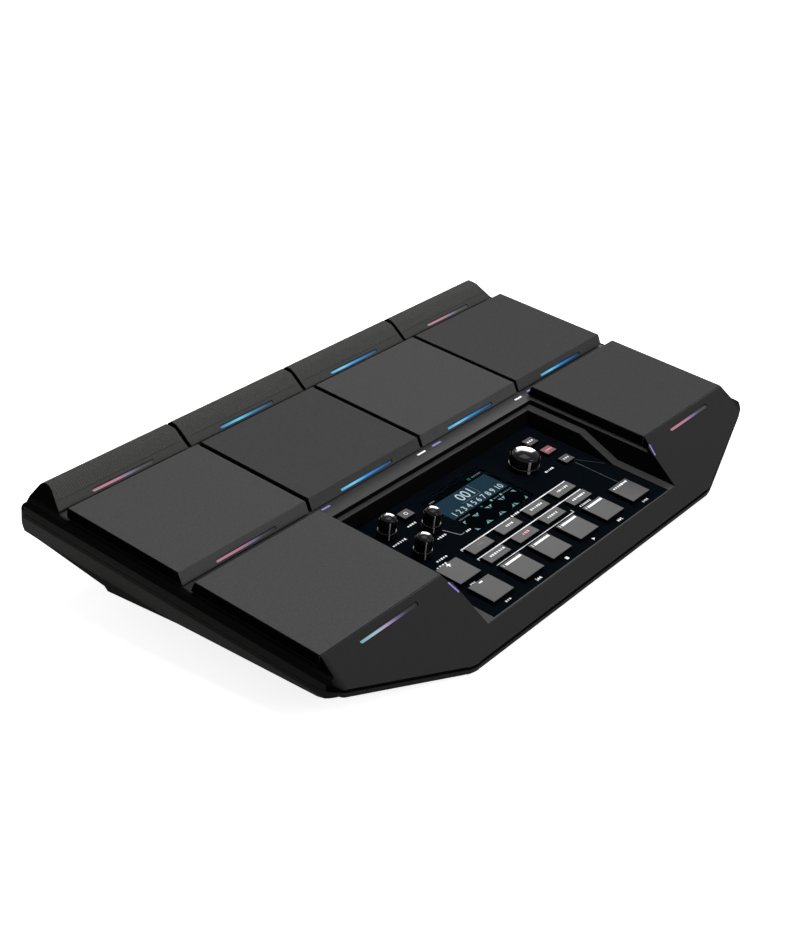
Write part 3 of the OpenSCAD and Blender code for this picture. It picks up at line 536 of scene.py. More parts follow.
@dataclass(frozen=True)
class Glass:
    """The clear cover of the display."""

    name: str
    color: Color
    roughness: float = 0.03
    ior: float = 1.001
    grain_mm: float = 2.5
    shade: float = 0.02
    rub: float = 0.03

    def material(self) -> Material:
        """Builds the finish.

        Returns:
            The new material.
        """
        made = Shader(self.name)
        grain = made.grain(self.color, self.shade, self.roughness, self.rub, self.grain_mm)
        return made.dress({"Base Color": grain["Color"], "Roughness": grain["Roughness"],
                           "Transmission Weight": 1.0, "IOR": self.ior})


class Finish(Enum):
    """Every finish of the object."""

    # Painted shade: the case plastic darkens towards its outer ends through dark_beyond.
    CASE = Moulded("case_black", (45, 45, 45), 0.55, 0.55, 0.02, specular=0.02, dark_beyond=204.5, dark_fade=6.5)
    # Painted sheen: the level ledges are the case plastic painted paler, as if catching the light.
    LEDGE = Moulded("case_ledge", (60, 60, 60), 0.55, 0.55, 0.02, specular=0.01, dark_beyond=207.2)
    # Painted shade: the case's walls and the buttons' sides are painted near black where light does not reach.
    WALL = Moulded("case_wall", (14, 14, 14), 0.65, 0.55, 0.02, specular=0.0)
    BASE = Moulded("base_black", (44, 44, 43), 0.60, 0.7, 0.03, specular=0.02)
    # Painted light and shade: one pad rubber as a lighter and a darker copy, taken in turn from pad to pad.
    PAD_PALE = Moulded("pad_rubber_0", (80, 80, 80), 0.62, 0.9, 0.05, 0.12, specular=0.0)
    PAD_DARK = Moulded("pad_rubber_1", (72, 72, 72), 0.62, 0.9, 0.05, 0.12, specular=0.0)
    BAR = Moulded("bar_rubber", (74, 74, 73), 0.58, 0.8, 0.04, 0.12, specular=0.0)
    # Painted highlight: the ribs are the bar's rubber painted lighter, as if catching the light.
    RIB = Moulded("rib_rubber", (86, 86, 84), 0.58, 0.8, 0.04, 0.3, specular=0.0)
    # Painted shade: a darker copy of the bar rubber laid along the bar's crease.
    FOLD = Moulded("bar_fold", (54, 54, 53), 0.65, 0.8, 0.04, 0.2, specular=0.02)
    # Painted shade: the pads' side faces are their rubber painted near black where light does not reach.
    FLANK = Moulded("pad_flank", (15, 15, 15), 0.7, 0.9, 0.04, 0.08, specular=0.0)
    PANEL = Moulded("panel_gloss", (9, 14, 19), 0.3, 3.0, 0.002, 0.05, 0.10, 0.0)
    BUTTON = Moulded("button_grey", (82, 82, 83), 0.45, 0.4, 0.015, 0.05, specular=0.01)
    ROSE = Moulded("button_rose", (128, 88, 90), 0.45, 0.4, 0.015, 0.05, specular=0.01)
    KNOB = Moulded("knob_gloss", (7, 7, 8), 0.1, 1.5, 0.001, 0.05, 0.05, 0.12)
    GRIP = Moulded("knob_grip", (12, 12, 12), 0.38, 0.4, 0.01, 0.08, specular=0.12)
    FOOT = Moulded("foot_rubber", (18, 18, 18), 0.8, 0.8, 0.05, specular=0.2)
    METAL = Moulded("part_metal", (172, 174, 176), 0.32, 0.25, 0.004, 0.06, 0.15, metallic=1.0)
    DARK = Moulded("switch_black", (22, 22, 23), 0.5, 0.4, 0.015)
    BOARD = Moulded("board_green", (18, 72, 44), 0.45, 1.2, 0.01, 0.15)
    FOAM = Moulded("foam_grey", (58, 58, 60), 0.9, 0.6, 0.08, 0.2, specular=0.2)
    FILM = Moulded("sensor_film", (170, 142, 92), 0.35, 1.0, 0.005)
    MODULE = Moulded("module_grey", (70, 88, 98), 0.4, 0.8, 0.01)
    GLASS = Glass("display_glass", (228, 236, 240))
    # Painted light: the white print glows a little though it is no lamp.
    WHITE = Ink("ink_white", (226, 227, 228), 0.15)
    GREY = Ink("ink_grey", (96, 98, 102))
    POINTER = Ink("ink_pointer", (150, 151, 153))
    FAINT = Ink("ink_faint", (52, 54, 58))
    LAMP = Ink("lit_white", (236, 238, 240), 0.35)
    RED = Ink("lit_red", (232, 120, 132), 0.3)
    VIOLET = Ink("lit_violet", (124, 120, 192), 0.45)
    SCREEN = Ink("screen_black", (5, 8, 10), 1.0, lit_only=True)
    HEADER = Ink("screen_blue", (37, 60, 72), 1.0, lit_only=True)
    DIGITS = Ink("screen_white", (214, 224, 228), 1.0, lit_only=True)
    CYAN = Ink("screen_cyan", (134, 184, 184), 1.0, lit_only=True)
    GREEN = Ink("screen_green", (34, 110, 84), 1.0, lit_only=True)
    DIM = Ink("screen_grey", (116, 126, 132), 1.0, lit_only=True)
    LIGHT_BLUE = Glow("light_blue", ((0.0, (70, 166, 216)), (0.25, (112, 200, 240)), (0.5, (24, 142, 222)),
                                     (0.75, (6, 100, 166)), (1.0, (2, 58, 84))))
    LIGHT_CYAN = Glow("light_cyan", ((0.0, (24, 128, 170)), (0.35, (88, 198, 230)), (0.6, (22, 128, 182)),
                                     (0.85, (4, 84, 120)), (1.0, (2, 46, 66))))
    LIGHT_PINK = Glow("light_pink", ((0.0, (160, 128, 134)), (0.2, (186, 120, 138)), (0.42, (172, 118, 138)),
                                     (0.6, (112, 106, 140)), (0.76, (66, 66, 78)), (1.0, (48, 48, 50))))
    LIGHT_MIXED = Glow("light_mixed", ((0.0, (112, 166, 176)), (0.25, (158, 186, 200)), (0.45, (168, 148, 184)),
                                       (0.62, (104, 90, 136)), (0.8, (38, 40, 52)), (1.0, (12, 14, 16))))

    @cached_property
    def material(self) -> Material:
        """Returns the finish's material, which is made when it is first asked for."""
        return self.value.material()


@dataclass(frozen=True)
class Piece:
    """What a piece of the object is called, rides on and looks like, its slot, and the CAD node it stands for."""

    name: str
    body: str
    finish: Finish
    slot: str | None = None
    node: str | None = None

    def make(self, bm: BMesh) -> Object:
        """Makes the piece out of a mesh in the frame's metres.

        Args:
            bm: The mesh, which is freed.

        Returns:
            The new object.
        """
        for face in bm.faces:
            face.material_index = 0
        mesh = bpy.data.meshes.new(self.name)
        bm.to_mesh(mesh)
        bm.free()
        mesh.materials.append(self.finish.material)
        obj = linked(self.name, mesh)
        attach(obj, self.body)
        if self.node:
            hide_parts(self.node)
        LOG.info("%s rides on %s", self.name, self.body)
        return obj

    def grow(self, tree: Graph, move: Matrix, seed: Mesh | None = None, **values: object) -> None:
        """Makes the piece by a geometry tree.

        Args:
            tree: The tree.
            move: The move from the tree's millimetres to the frame's metres.
            seed: The mesh that the tree works on, if it takes one.
            values: The tree's named inputs.
        """
        bm = bmesh.new()
        bm.from_mesh(tree.grow(self.finish.material, seed, **values))
        bmesh.ops.remove_doubles(bm, verts=bm.verts[:], dist=0.01)
        bm.transform(move)
        bmesh.ops.recalc_face_normals(bm, faces=bm.faces[:])
        soften(bm)
        self.make(bm)


@dataclass(frozen=True)
class Polish:
    """How the edges of a CAD solid's copy are rounded."""

    width: float = 0.4
    segments: int = 2
    shortest: float = 2.0
    flat_deg: float = 0.3
    corner_deg: float = 25.0
    crease_deg: float = 13.0
    clear_mm: float = 60.0

    def outer_edges(self, bm: BMesh) -> list[bmesh.types.BMEdge]:
        """Finds the corners that face the open air.

        Args:
            bm: The solid's mesh.

        Returns:
            The convex edges that are long enough to round.
        """
        tree = BVHTree.FromBMesh(bm)
        limit = math.radians(self.corner_deg)
        found = []
        for edge in bm.edges:
            if not edge.is_convex or edge.calc_face_angle(0.0) < limit or edge.calc_length() < self.shortest * MM:
                continue
            out = (edge.link_faces[0].normal + edge.link_faces[1].normal).normalized()
            middle = (edge.verts[0].co + edge.verts[1].co) / 2
            if tree.ray_cast(middle + out * 50 * WELD, out, self.clear_mm * MM)[0] is None:
                found.append(edge)
        return found

    def shape(self, node: str) -> BMesh:
        """Copies a CAD node and rounds its outer corners.

        Args:
            node: The CAD node.

        Returns:
            The new mesh, shaded smooth over its curves and sharp at its creases.
        """
        bm = bmesh.new()
        bm.from_mesh(frame["nodes"][node].data)
        bmesh.ops.remove_doubles(bm, verts=bm.verts[:], dist=WELD)
        bmesh.ops.dissolve_limit(bm, angle_limit=math.radians(self.flat_deg), verts=bm.verts[:], edges=bm.edges[:])
        strips = set(ease(bm, self.outer_edges(bm), self.width * MM, self.segments, offset_type="OFFSET",
                          clamp_overlap=False))
        crease = math.radians(self.crease_deg)
        for face in bm.faces:
            face.smooth = True
        for edge in bm.edges:
            rounded = sum(face in strips for face in edge.link_faces)
            edge.smooth = rounded == 2 or (rounded == 0 and edge.calc_face_angle(0.0) < crease)
        return bm

    def apply(self, node: str, name: str, finish: Finish, slot: str) -> Object:
        """Makes a copy of a CAD node with rounded edges that stands for it."""
        return Piece(name, frame["nodes"][node]["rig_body"], finish, slot, node).make(self.shape(node))


def sort_faces(obj: Object, finishes: Iterable[Finish], pick: Callable[[MeshPolygon], int]) -> None:
    """Gives some faces of a piece other finishes than its first.

    Args:
        obj: The piece.
        finishes: The other finishes.
        pick: Returns the number of a face's finish.
    """
    for finish in finishes:
        obj.data.materials.append(finish.material)
    for polygon in obj.data.polygons:
        polygon.material_index = pick(polygon)


def dash_tree() -> Graph:
    """Builds the tree that grows a row of small blocks of uneven length.

    Returns:
        The tree, with inputs for the row's start, step, count, size and seed.
    """
    graph = Graph.geometry("dash_row", Start=Socket.VECTOR, Step=Socket.VECTOR, Count=Socket.INT,
                           Size=Socket.VECTOR, Seed=Socket.INT)
    source = graph.source
    row = graph.make("GeometryNodeMeshLine", {"Count": source["Count"], "Start Location": source["Start"],
                                              "Offset": source["Step"]}, mode="OFFSET")
    cube = graph.make("GeometryNodeMeshCube", {"Size": source["Size"]})
    scale = graph.make("FunctionNodeRandomValue", {0: (0.35, 0.6, 1.0), 1: (0.78, 1.0, 1.0), "Seed": source["Seed"]},
                       data_type="FLOAT_VECTOR")
    return graph.repeat(row, cube, Scale=scale)


DASHES = dash_tree()


def rib_tree() -> Graph:
    """Builds the tree that repeats a rib along a bar.

    Returns:
        The tree, whose geometry is the rib's path and whose inputs are the rib's radius, count and pitch.
    """
    graph = Graph.geometry("rib_run", Geometry=Socket.GEOMETRY, Radius=Socket.FLOAT, Count=Socket.INT,
                           Pitch=Socket.FLOAT)
    source = graph.source
    path = graph.make("GeometryNodeMeshToCurve", {"Mesh": source["Geometry"]})
    outline = graph.make("GeometryNodeCurvePrimitiveCircle", {"Resolution": 6, "Radius": source["Radius"]})
    rib = graph.make("GeometryNodeCurveToMesh", {"Curve": path, "Profile Curve": outline, "Fill Caps": True})
    step = graph.make("ShaderNodeCombineXYZ", {"X": source["Pitch"]})
    row = graph.make("GeometryNodeMeshLine", {"Count": source["Count"], "Offset": step}, mode="OFFSET")
    return graph.repeat(row, rib)


def lamp_tree() -> Graph:
    """Builds the tree of a round-ended diffuser that lies along u with its face at height 0.

    Returns:
        The tree, with inputs for the diffuser's length, width and depth.
    """
    graph = Graph.geometry("lit_bar", Length=Socket.FLOAT, Width=Socket.FLOAT, Depth=Socket.FLOAT)
    source = graph.source
    outline = graph.make("GeometryNodeCurvePrimitiveQuadrilateral", {"Width": source["Length"],
                                                                     "Height": source["Width"]})
    radius = graph.math("MULTIPLY", source["Width"], 0.499)
    ends = graph.make("GeometryNodeFilletCurve", {"Curve": outline, "Count": 6, "Radius": radius}, mode="POLY")
    face = graph.make("GeometryNodeFillCurve", {"Curve": ends}, mode="NGONS")
    down = graph.make("ShaderNodeCombineXYZ", {"Z": graph.math("MULTIPLY", source["Depth"], -1.0)})
    block = graph.make("GeometryNodeExtrudeMesh", {"Mesh": face, "Offset": down, "Individual": False})
    marked = graph.make("GeometryNodeJoinGeometry", {"Geometry": [face, block]})
    place = graph.add("ShaderNodeSeparateXYZ", {"Vector": graph.make("GeometryNodeInputPosition")}).outputs
    for name, axis, size in (("along", "X", "Length"), ("across", "Y", "Width")):
        share = graph.math("ADD", graph.math("DIVIDE", place[axis], source[size]), 0.5)
        marked = graph.make("GeometryNodeStoreNamedAttribute", {"Geometry": marked, "Name": name, "Value": share},
                            data_type="FLOAT", domain="POINT")
    return graph.finish(marked)


def ring_tree() -> Graph:
    """Builds the tree that sets small rods on a circle round a knob.

    Returns:
        The tree, with inputs for the count, the circle's radius and the rods' radius, foot, height and sides.
    """
    graph = Graph.geometry("rod_ring", Count=Socket.INT, Ring=Socket.FLOAT, Radius=Socket.FLOAT, Foot=Socket.FLOAT,
                           Height=Socket.FLOAT, Sides=Socket.INT)
    source = graph.source
    ring = graph.make("GeometryNodeMeshCircle", {"Vertices": source["Count"], "Radius": source["Ring"]})
    return graph.repeat(ring, graph.rod(source["Sides"], source["Radius"], source["Height"], source["Foot"]))


def screw_tree() -> Graph:
    """Builds the tree that sets cross-slotted screw heads on points.

    Returns:
        The tree, whose geometry is the points and whose inputs are the head's and the shank's sizes.
    """
    graph = Graph.geometry("screw_heads", Geometry=Socket.GEOMETRY, Head=Socket.FLOAT, Height=Socket.FLOAT,
                           Shank=Socket.FLOAT, Length=Socket.FLOAT, Slot=Socket.VECTOR, Cross=Socket.VECTOR)
    source = graph.source
    bars = [graph.make("GeometryNodeMeshCube", {"Size": source[size]}) for size in ("Slot", "Cross")]
    head = graph.make("GeometryNodeMeshBoolean", {"Mesh 1": graph.rod(28, source["Head"], source["Height"], 0.0),
                                                  "Mesh 2": bars, "Self Intersection": True},
                      operation="DIFFERENCE", solver="EXACT")
    shank = graph.rod(16, source["Shank"], source["Length"], graph.math("SUBTRACT", source["Height"], 0.2))
    return graph.repeat(source["Geometry"], graph.make("GeometryNodeJoinGeometry", {"Geometry": [head, shank]}))


class Print:
    """Marks of one colour on one body, as thin closed prisms."""

    thickness: float = 0.06
    cap_share: float = 0.7

    def __init__(self, piece: Piece, level: float) -> None:
        """Starts an empty print.

        Args:
            piece: The piece that it becomes.
            level: The w of the surface under it.
        """
        self.piece = piece
        self.low, self.high = level - self.thickness / 3, level + self.thickness
        self.middle = level + self.thickness / 3
        self.bm = bmesh.new()

    def block(self, points: Sequence[Point2]) -> None:
        """Adds a filled outline.

        Args:
            points: The outline's corners in u and v.
        """
        low, high = ([self.bm.verts.new((u, v, w)) for u, v in points] for w in (self.low, self.high))
        self.bm.faces.new(high)
        self.bm.faces.new(reversed(low))
        for i, vert in enumerate(low):
            j = (i + 1) % len(low)
            self.bm.faces.new((vert, low[j], high[j], high[i]))

    def line(self, points: Sequence[Point2], width: float) -> None:
        """Adds a stroke that may have corners.

        Args:
            points: The stroke's ends and corners.
            width: Its width.
        """
        for start, end in zip(map(Vector, points), map(Vector, points[1:])):
            side = Vector((start.y - end.y, end.x - start.x)).normalized() * width / 2
            self.block([start - side, end - side, end + side, start + side])

    def ring(self, centre: Point2, inner: float, outer: float, steps: int = 24) -> None:
        """Adds a ring of two radii round a centre."""
        section = ((inner, self.low), (outer, self.low), (outer, self.high), (inner, self.high))
        lathe(self.bm, section, steps, True, Matrix.Translation((*centre, 0.0)))

    def digits(self, text: str, at: Point2, height: float) -> None:
        """Adds plain numerals.

        Args:
            text: The numerals.
            at: The left end of their base line.
            height: The numerals' height.
        """
        curve = bpy.data.curves.new("digits", "FONT")
        curve.body = text
        curve.size = height / self.cap_share
        curve.resolution_u = 4
        curve.extrude = self.thickness * 2 / 3
        mesh = plain_mesh(linked("digits", curve))
        mesh.transform(Matrix.Translation((*at, self.middle)))
        self.bm.from_mesh(mesh)

    def dashes(self, left: float, right: float, v: float, height: float, count: int, seed: int) -> None:
        """Adds a row of small blocks of uneven length.

        Args:
            left, right, v: The row's ends and place.
            height: The blocks' height.
            count: How many blocks there are.
            seed: The seed of their lengths.
        """
        step = (right - left) / count
        self.bm.from_mesh(DASHES.grow(self.piece.finish.material, Start=(left + step / 2, v, self.middle),
                                      Step=(step, 0.0, 0.0), Count=count, Seed=seed,
                                      Size=(step, height, self.thickness * 4 / 3)))

    def finish(self, place: Matrix | None = None) -> None:
        """Turns the marks into the piece.

        Args:
            place: The move into the frame's metres, where they don't lie along the deck.
        """
        bmesh.ops.remove_doubles(self.bm, verts=self.bm.verts[:], dist=0.001)
        bmesh.ops.recalc_face_normals(self.bm, faces=self.bm.faces[:])
        self.bm.transform(place or DECK.matrix())
        self.piece.make(self.bm)


def strokes(piece: Piece, level: float, lines: Iterable[Sequence], place: Matrix | None = None) -> None:
    """Prints strokes as a piece.

    Args:
        piece: The piece that they become.
        level: The w of the surface under them.
        lines: Each stroke's width, followed by its ends and corners.
        place: The move into the frame's metres, where they don't lie along the deck.
    """
    ink = Print(piece, level)
    for width, *points in lines:
        ink.line(points, width)
    ink.finish(place)


@dataclass
class CaseShells:
    """The two case halves with their screws and feet."""

    screw_u: float = 190.5
    screw_spots: tuple[Point2, ...] = ((97.508, -33.94), (4.0, -33.739), (-85.55, -22.744))
    screw_seat: float = 5.0
    head_radius: float = 3.0
    head_height: float = 2.2
    shank_radius: float = 1.4
    shank_length: float = 5.6
    slot_size: Point3 = (3.6, 0.9, 2.2)
    level_limit: float = 0.92
    skirt_limit: float = 0.78
    deck_half: float = 208.6
    deck_rear: float = 112.0
    skirt_rear: float = -96.0
    rim_half: float = 213.2

    def build(self) -> None:
        """Dresses the shells, with painted sheen on the level ledges, painted shade on the walls and the base's finish
        on the rim, and sets the screws.
        """
        shell = Polish(0.4).apply("top_case", "case_upper", Finish.CASE, "case_black")
        up, home = DECK.up(), DECK.matrix().inverted()
        sort_faces(shell, (Finish.LEDGE, Finish.WALL, Finish.BASE),
                   lambda face: self.zone(face.normal.dot(up), home @ face.center))
        Polish(0.3, 2, 12.0).apply("bottom_case", "case_lower", Finish.BASE, "base_black")
        Polish(0.6, 3, 0.1).apply("rubber_feet", "case_feet", Finish.FOOT, "foot_rubber")
        self.screws()

    def zone(self, slope: float, at: Vector) -> int:
        """Sorts a face of the upper shell by its slope and place, into lit, painted sheen and painted shade copies of
        one plastic.

        Args:
            slope: How far the face looks up from the deck, from -1 to 1.
            at: Its middle in deck millimetres.

        Returns:
            The face's material number: the skirt's, the ledges' painted sheen, the walls' painted shade or the rim's.
        """
        if abs(at.x) > self.rim_half:
            return 3
        # Level ledges take the painted sheen, the front skirt the plain plastic and every other face the painted shade.
        if slope > self.level_limit and abs(at.x) < self.deck_half and at.y < self.deck_rear:
            return 1
        return 0 if slope > self.skirt_limit and at.y < self.skirt_rear else 2

    def screws(self) -> None:
        """Sets cross-slotted screws in the six counterbores."""
        low = self.screw_seat - self.head_height
        long, wide, deep = self.slot_size
        spots = [(side * self.screw_u, v, w + low) for side in (-1, 1) for v, w in self.screw_spots]
        Piece("case_screw_heads", "case", Finish.METAL, "part_metal", "case_screws").grow(
            screw_tree(), DECK.matrix(), points_mesh(spots), Head=self.head_radius, Height=self.head_height,
            Shank=self.shank_radius, Length=self.shank_length, Slot=(long, wide, deep), Cross=(wide, long, deep))


@dataclass
class PadSet:
    """The struck pads and the rear bars with their ribs."""

    rise: float = 2.8
    crest: float = 6.8
    front_radius: float = 10.0
    rear_radius: float = 4.0
    rear_angle: float = 62.4
    rib_radius: float = 0.5
    rib_proud: float = 0.22
    rib_count: int = 59
    rib_pitch: float = 1.7
    rib_start: float = -2.5
    rib_skip: int = 3
    crease_size: Point3 = (96.0, 0.4, 0.12)
    flank_limit: float = 0.6
    # The pads take the painted light and the painted shade copy of one rubber in turn.
    rubbers: tuple[Finish, Finish] = (Finish.PAD_PALE, Finish.PAD_DARK)

    def build(self) -> None:
        """Dresses every pad and bar, and sets fine ribs over the bars' crests, clear of the row's leaning ends."""
        for i in range(1, 5):
            self.dress(f"main_pad_{i}", f"pad_middle_{i}", self.rubbers[(i + 1) % 2], "pad_rubber")
            self.dress(f"bar_pad_{i}", f"pad_rear_{i}", Finish.BAR, "bar_rubber")
        for side, rubber in zip(("left", "right"), self.rubbers):
            self.dress(f"front_pad_{side}", f"pad_front_{side}", rubber, "pad_rubber")
        tree = rib_tree()
        for i in range(1, 5):
            self.ribs(i, tree)
            self.crease(i)

    def dress(self, node: str, name: str, finish: Finish, slot: str) -> None:
        """Makes a pad's piece, with painted shade on its flanks to its left and right."""
        sort_faces(Polish(0.25).apply(node, name, finish, slot), [Finish.FLANK],
                   lambda face: int(abs(face.normal.x) > self.flank_limit))

    def rib_path(self) -> list[Point3]:
        """Follows the bars' section from the front face over the crest.

        Returns:
            Points in deck coordinates at u 0, sunk so that a rib stands proud by its own height.
        """
        lean, back = math.radians(DECK.bar_angle), math.radians(self.rear_angle)
        foot, base = DECK.bar_foot
        sink = self.rib_radius - self.rib_proud
        corner = foot + (self.rise - base) / math.tan(lean)
        front = corner + self.front_radius * math.tan(lean / 2)
        rear = corner + self.crest - self.rear_radius * math.tan(back / 2)
        start = foot + (self.rib_start - base) / math.tan(lean)
        points = [(0.0, start + sink * math.sin(lean), self.rib_start - sink * math.cos(lean))]
        for v, radius, turns in ((front, self.front_radius, [lean * (1 - k / 6) for k in range(7)]),
                                 (rear, self.rear_radius, [-back * k / 6 for k in range(1, 4)])):
            points += [(0.0, v - (radius - sink) * math.sin(turn),
                        self.rise - radius + (radius - sink) * math.cos(turn)) for turn in turns]
        return points

    def ribs(self, index: int, tree: Graph) -> None:
        """Sets the ribs of a bar.

        Args:
            index: The bar, counted from 1.
            tree: The node tree that repeats a rib.
        """
        count = self.rib_count - (self.rib_skip if index in (1, 4) else 0)
        first = self.rib_skip if index == 1 else 0
        start = DECK.column(index) + (first - (self.rib_count - 1) / 2) * self.rib_pitch
        Piece(f"pad_rear_ribs_{index}", f"bar_pad_{index}", Finish.RIB, "bar_rubber").grow(
            tree, DECK.matrix() @ Matrix.Translation((start, 0.0, 0.0)), points_mesh(self.rib_path(), chain=True),
            Radius=self.rib_radius, Count=count, Pitch=self.rib_pitch)

    def crease(self, index: int) -> None:
        """Draws a faint strip of painted shade along the crease under a bar's ribs.

        Args:
            index: The bar, counted from 1.
        """
        run = (self.rib_start - DECK.bar_foot[1]) / math.sin(math.radians(DECK.bar_angle))
        bm = bmesh.new()
        box(bm, self.crease_size, (0.0, 0.0, 0.0))
        bm.transform(DECK.slope(DECK.column(index), DECK.bar_foot, DECK.bar_angle, run))
        Piece(f"pad_rear_crease_{index}", f"bar_pad_{index}", Finish.FOLD, "bar_rubber").make(bm)


@dataclass
class LightSet:
    """The ten light bars and the small lit dashes in the valley."""

    length: float = 47.8
    width: float = 2.2
    face: float = -0.55
    depth: float = 1.4
    bar_face: float = -0.35
    bar_depth: float = 0.8
    pad_foot: Point2 = (-3.7, -6.6)
    pad_angle: float = 60.725
    foot_run: float = 2.3
    ridge: Point2 = (-97.55, -0.25)
    skirt_angle: float = 33.0
    skirt_run: float = 5.6
    front_u: float = 157.25
    pad_hues: tuple[Finish, ...] = (Finish.LIGHT_PINK, Finish.LIGHT_BLUE, Finish.LIGHT_BLUE, Finish.LIGHT_BLUE)
    bar_hues: tuple[Finish, ...] = (Finish.LIGHT_PINK, Finish.LIGHT_CYAN, Finish.LIGHT_BLUE, Finish.LIGHT_PINK)
    front_hues: tuple[Finish, ...] = (Finish.LIGHT_MIXED, Finish.LIGHT_PINK)
    valley: float = -7.5
    dash_width: float = 1.3
    white_dashes: Rows = (((-7.9, -6.6), (0.0, -6.6)), ((95.4, -7.8), (102.6, -7.8)))
    violet_dashes: Rows = (
        ((7.5, -6.3), (16.0, -6.3)), ((111.2, -6.6), (115.0, -6.6)), ((109.6, -10.2), (109.6, -17.8)),
        ((-97.4, -6.1), (-90.2, -6.1)))
    stroke: tuple[Point2, ...] = ((106.5, -5.8), (105.5, -9.4), (104.4, -13.4))
    stroke_width: float = 1.1
    tree: Graph = field(default_factory=lamp_tree)

    def build(self) -> None:
        """Makes the light bars, the dashes in the valley and the bent strokes at the skirt's inner corners."""
        for i, (pad, bar) in enumerate(zip(self.pad_hues, self.bar_hues), 1):
            u = DECK.column(i)
            self.lamp(Piece(f"light_middle_{i}", f"main_pad_{i}", pad, "light_clear", f"pad_light_{i}"), self.depth,
                      DECK.slope(u, self.pad_foot, self.pad_angle, self.foot_run, self.face))
            self.lamp(Piece(f"light_rear_{i}", f"bar_pad_{i}", bar, "light_clear", f"bar_light_{i}"), self.bar_depth,
                      DECK.slope(u, DECK.bar_foot, DECK.bar_angle, self.foot_run, self.bar_face))
        sides = (("left", -1), ("right", 1))
        for (name, side), hue in zip(sides, self.front_hues):
            self.lamp(Piece(f"light_front_{name}", "case", hue, "light_clear", "front_lights"), self.depth,
                      DECK.slope(side * self.front_u, self.ridge, self.skirt_angle, -self.skirt_run, self.face))
        for name, ink, dashes in (("white", Finish.LAMP, self.white_dashes),
                                  ("violet", Finish.VIOLET, self.violet_dashes)):
            strokes(Piece(f"light_dashes_{name}", "case", ink, "light_clear"), self.valley,
                    [(self.dash_width, *ends) for ends in dashes])
        skirt = DECK.slope(0.0, self.ridge, self.skirt_angle, 0.0)
        for name, side in sides:
            strokes(Piece(f"light_stroke_{name}", "case", Finish.VIOLET, "light_clear"), 0.0,
                    [(self.stroke_width, *((side * u, v) for u, v in self.stroke))], skirt)

    def lamp(self, piece: Piece, depth: float, place: Matrix) -> None:
        """Grows one diffuser of a depth at a place."""
        piece.grow(self.tree, place, Length=self.length, Width=self.width, Depth=depth)


@dataclass
class ControlPanel:
    """The panel with its print."""

    line: float = 0.45
    rule: float = 0.75
    symbol_v: float = -123.3
    symbol_half: float = 1.15
    symbol_run: float = 1.9
    symbol_bar: float = 0.5
    caption_height: float = 1.6
    rows: Rows = (
        (-59.0, -50.5, -40.0, 4), (-81.0, -68.6, -46.6, 6), (-56.2, -47.6, -59.8, 4), (-75.0, -65.0, -73.4, 5),
        (-4.4, 4.0, -75.9, 4), (-37.4, -32.2, -66.6, 3), (53.4, 62.6, -61.9, 5), (35.9, 48.2, -98.6, 6),
        (69.8, 76.0, -122.8, 4), (-77.6, -72.0, -122.8, 3), (-80.4, -70.4, -77.4, 4), (-79.0, -74.0, -100.0, 3))

    def build(self) -> None:
        """Dresses the panel and prints its lines, symbols and dashes."""
        Polish(0.3).apply("control_panel", "panel_plate", Finish.PANEL, "panel_gloss")
        self.rules()
        self.symbols()
        ink = self.start("panel_captions")
        for seed, (left, right, v, count) in enumerate(self.rows):
            ink.dashes(left, right, v, self.caption_height, count, seed)
        ink.finish()

    def start(self, name: str) -> Print:
        """Starts a white print on the panel's face."""
        return Print(Piece(name, "case", Finish.WHITE), DECK.panel_top)

    def rules(self) -> None:
        """Prints the lines over the button rows and the thin guide lines."""
        rule, line = self.rule, self.line
        for name, finish, lines in (
                ("panel_rules", Finish.WHITE,
                 ((rule, (-55.2, -75.9), (-5.5, -75.9)), (rule, (5.1, -75.9), (54.0, -75.9)),
                  (rule, (-55.6, -87.9), (53.4, -87.9)), (line, (-52.4, -99.2), (28.6, -99.2), (28.6, -96.9)),
                  (line, (-55.0, -75.9), (-55.0, -77.4)), (line, (-55.4, -87.9), (-55.4, -89.4)))),
                ("panel_guides", Finish.GREY, ((line, (-46.2, -56.0), (-42.1, -66.4), (-38.4, -66.4)),)),
                ("panel_traces", Finish.FAINT, ((line, (81.0, -65.8), (91.6, -82.0)),
                                                (line, (78.4, -67.4), (78.4, -101.4))))):
            strokes(Piece(name, "case", finish), DECK.panel_top, lines)

    def symbols(self) -> None:
        """Prints the plain transport symbols in front of the track buttons."""
        ink = self.start("panel_symbols")
        v, half, run = self.symbol_v, self.symbol_half, self.symbol_run
        low, high = v - half, v + half
        back, stop, play, ahead = DECK.tracks
        for u in (back - 2.1, ahead + 2.2):
            ink.line(((u, low), (u, high)), self.symbol_bar)
        for u in (back - 1.7, back + 0.2):
            ink.block([(u, v), (u + run, low), (u + run, high)])
        for u in (ahead - 2.0, ahead - 0.1):
            ink.block([(u, low), (u + run, v), (u, high)])
        ink.line(((stop - half, v), (stop + half, v)), 2 * half)
        ink.block([(play - half, low), (play + half, v), (play - half, high)])
        ink.finish()


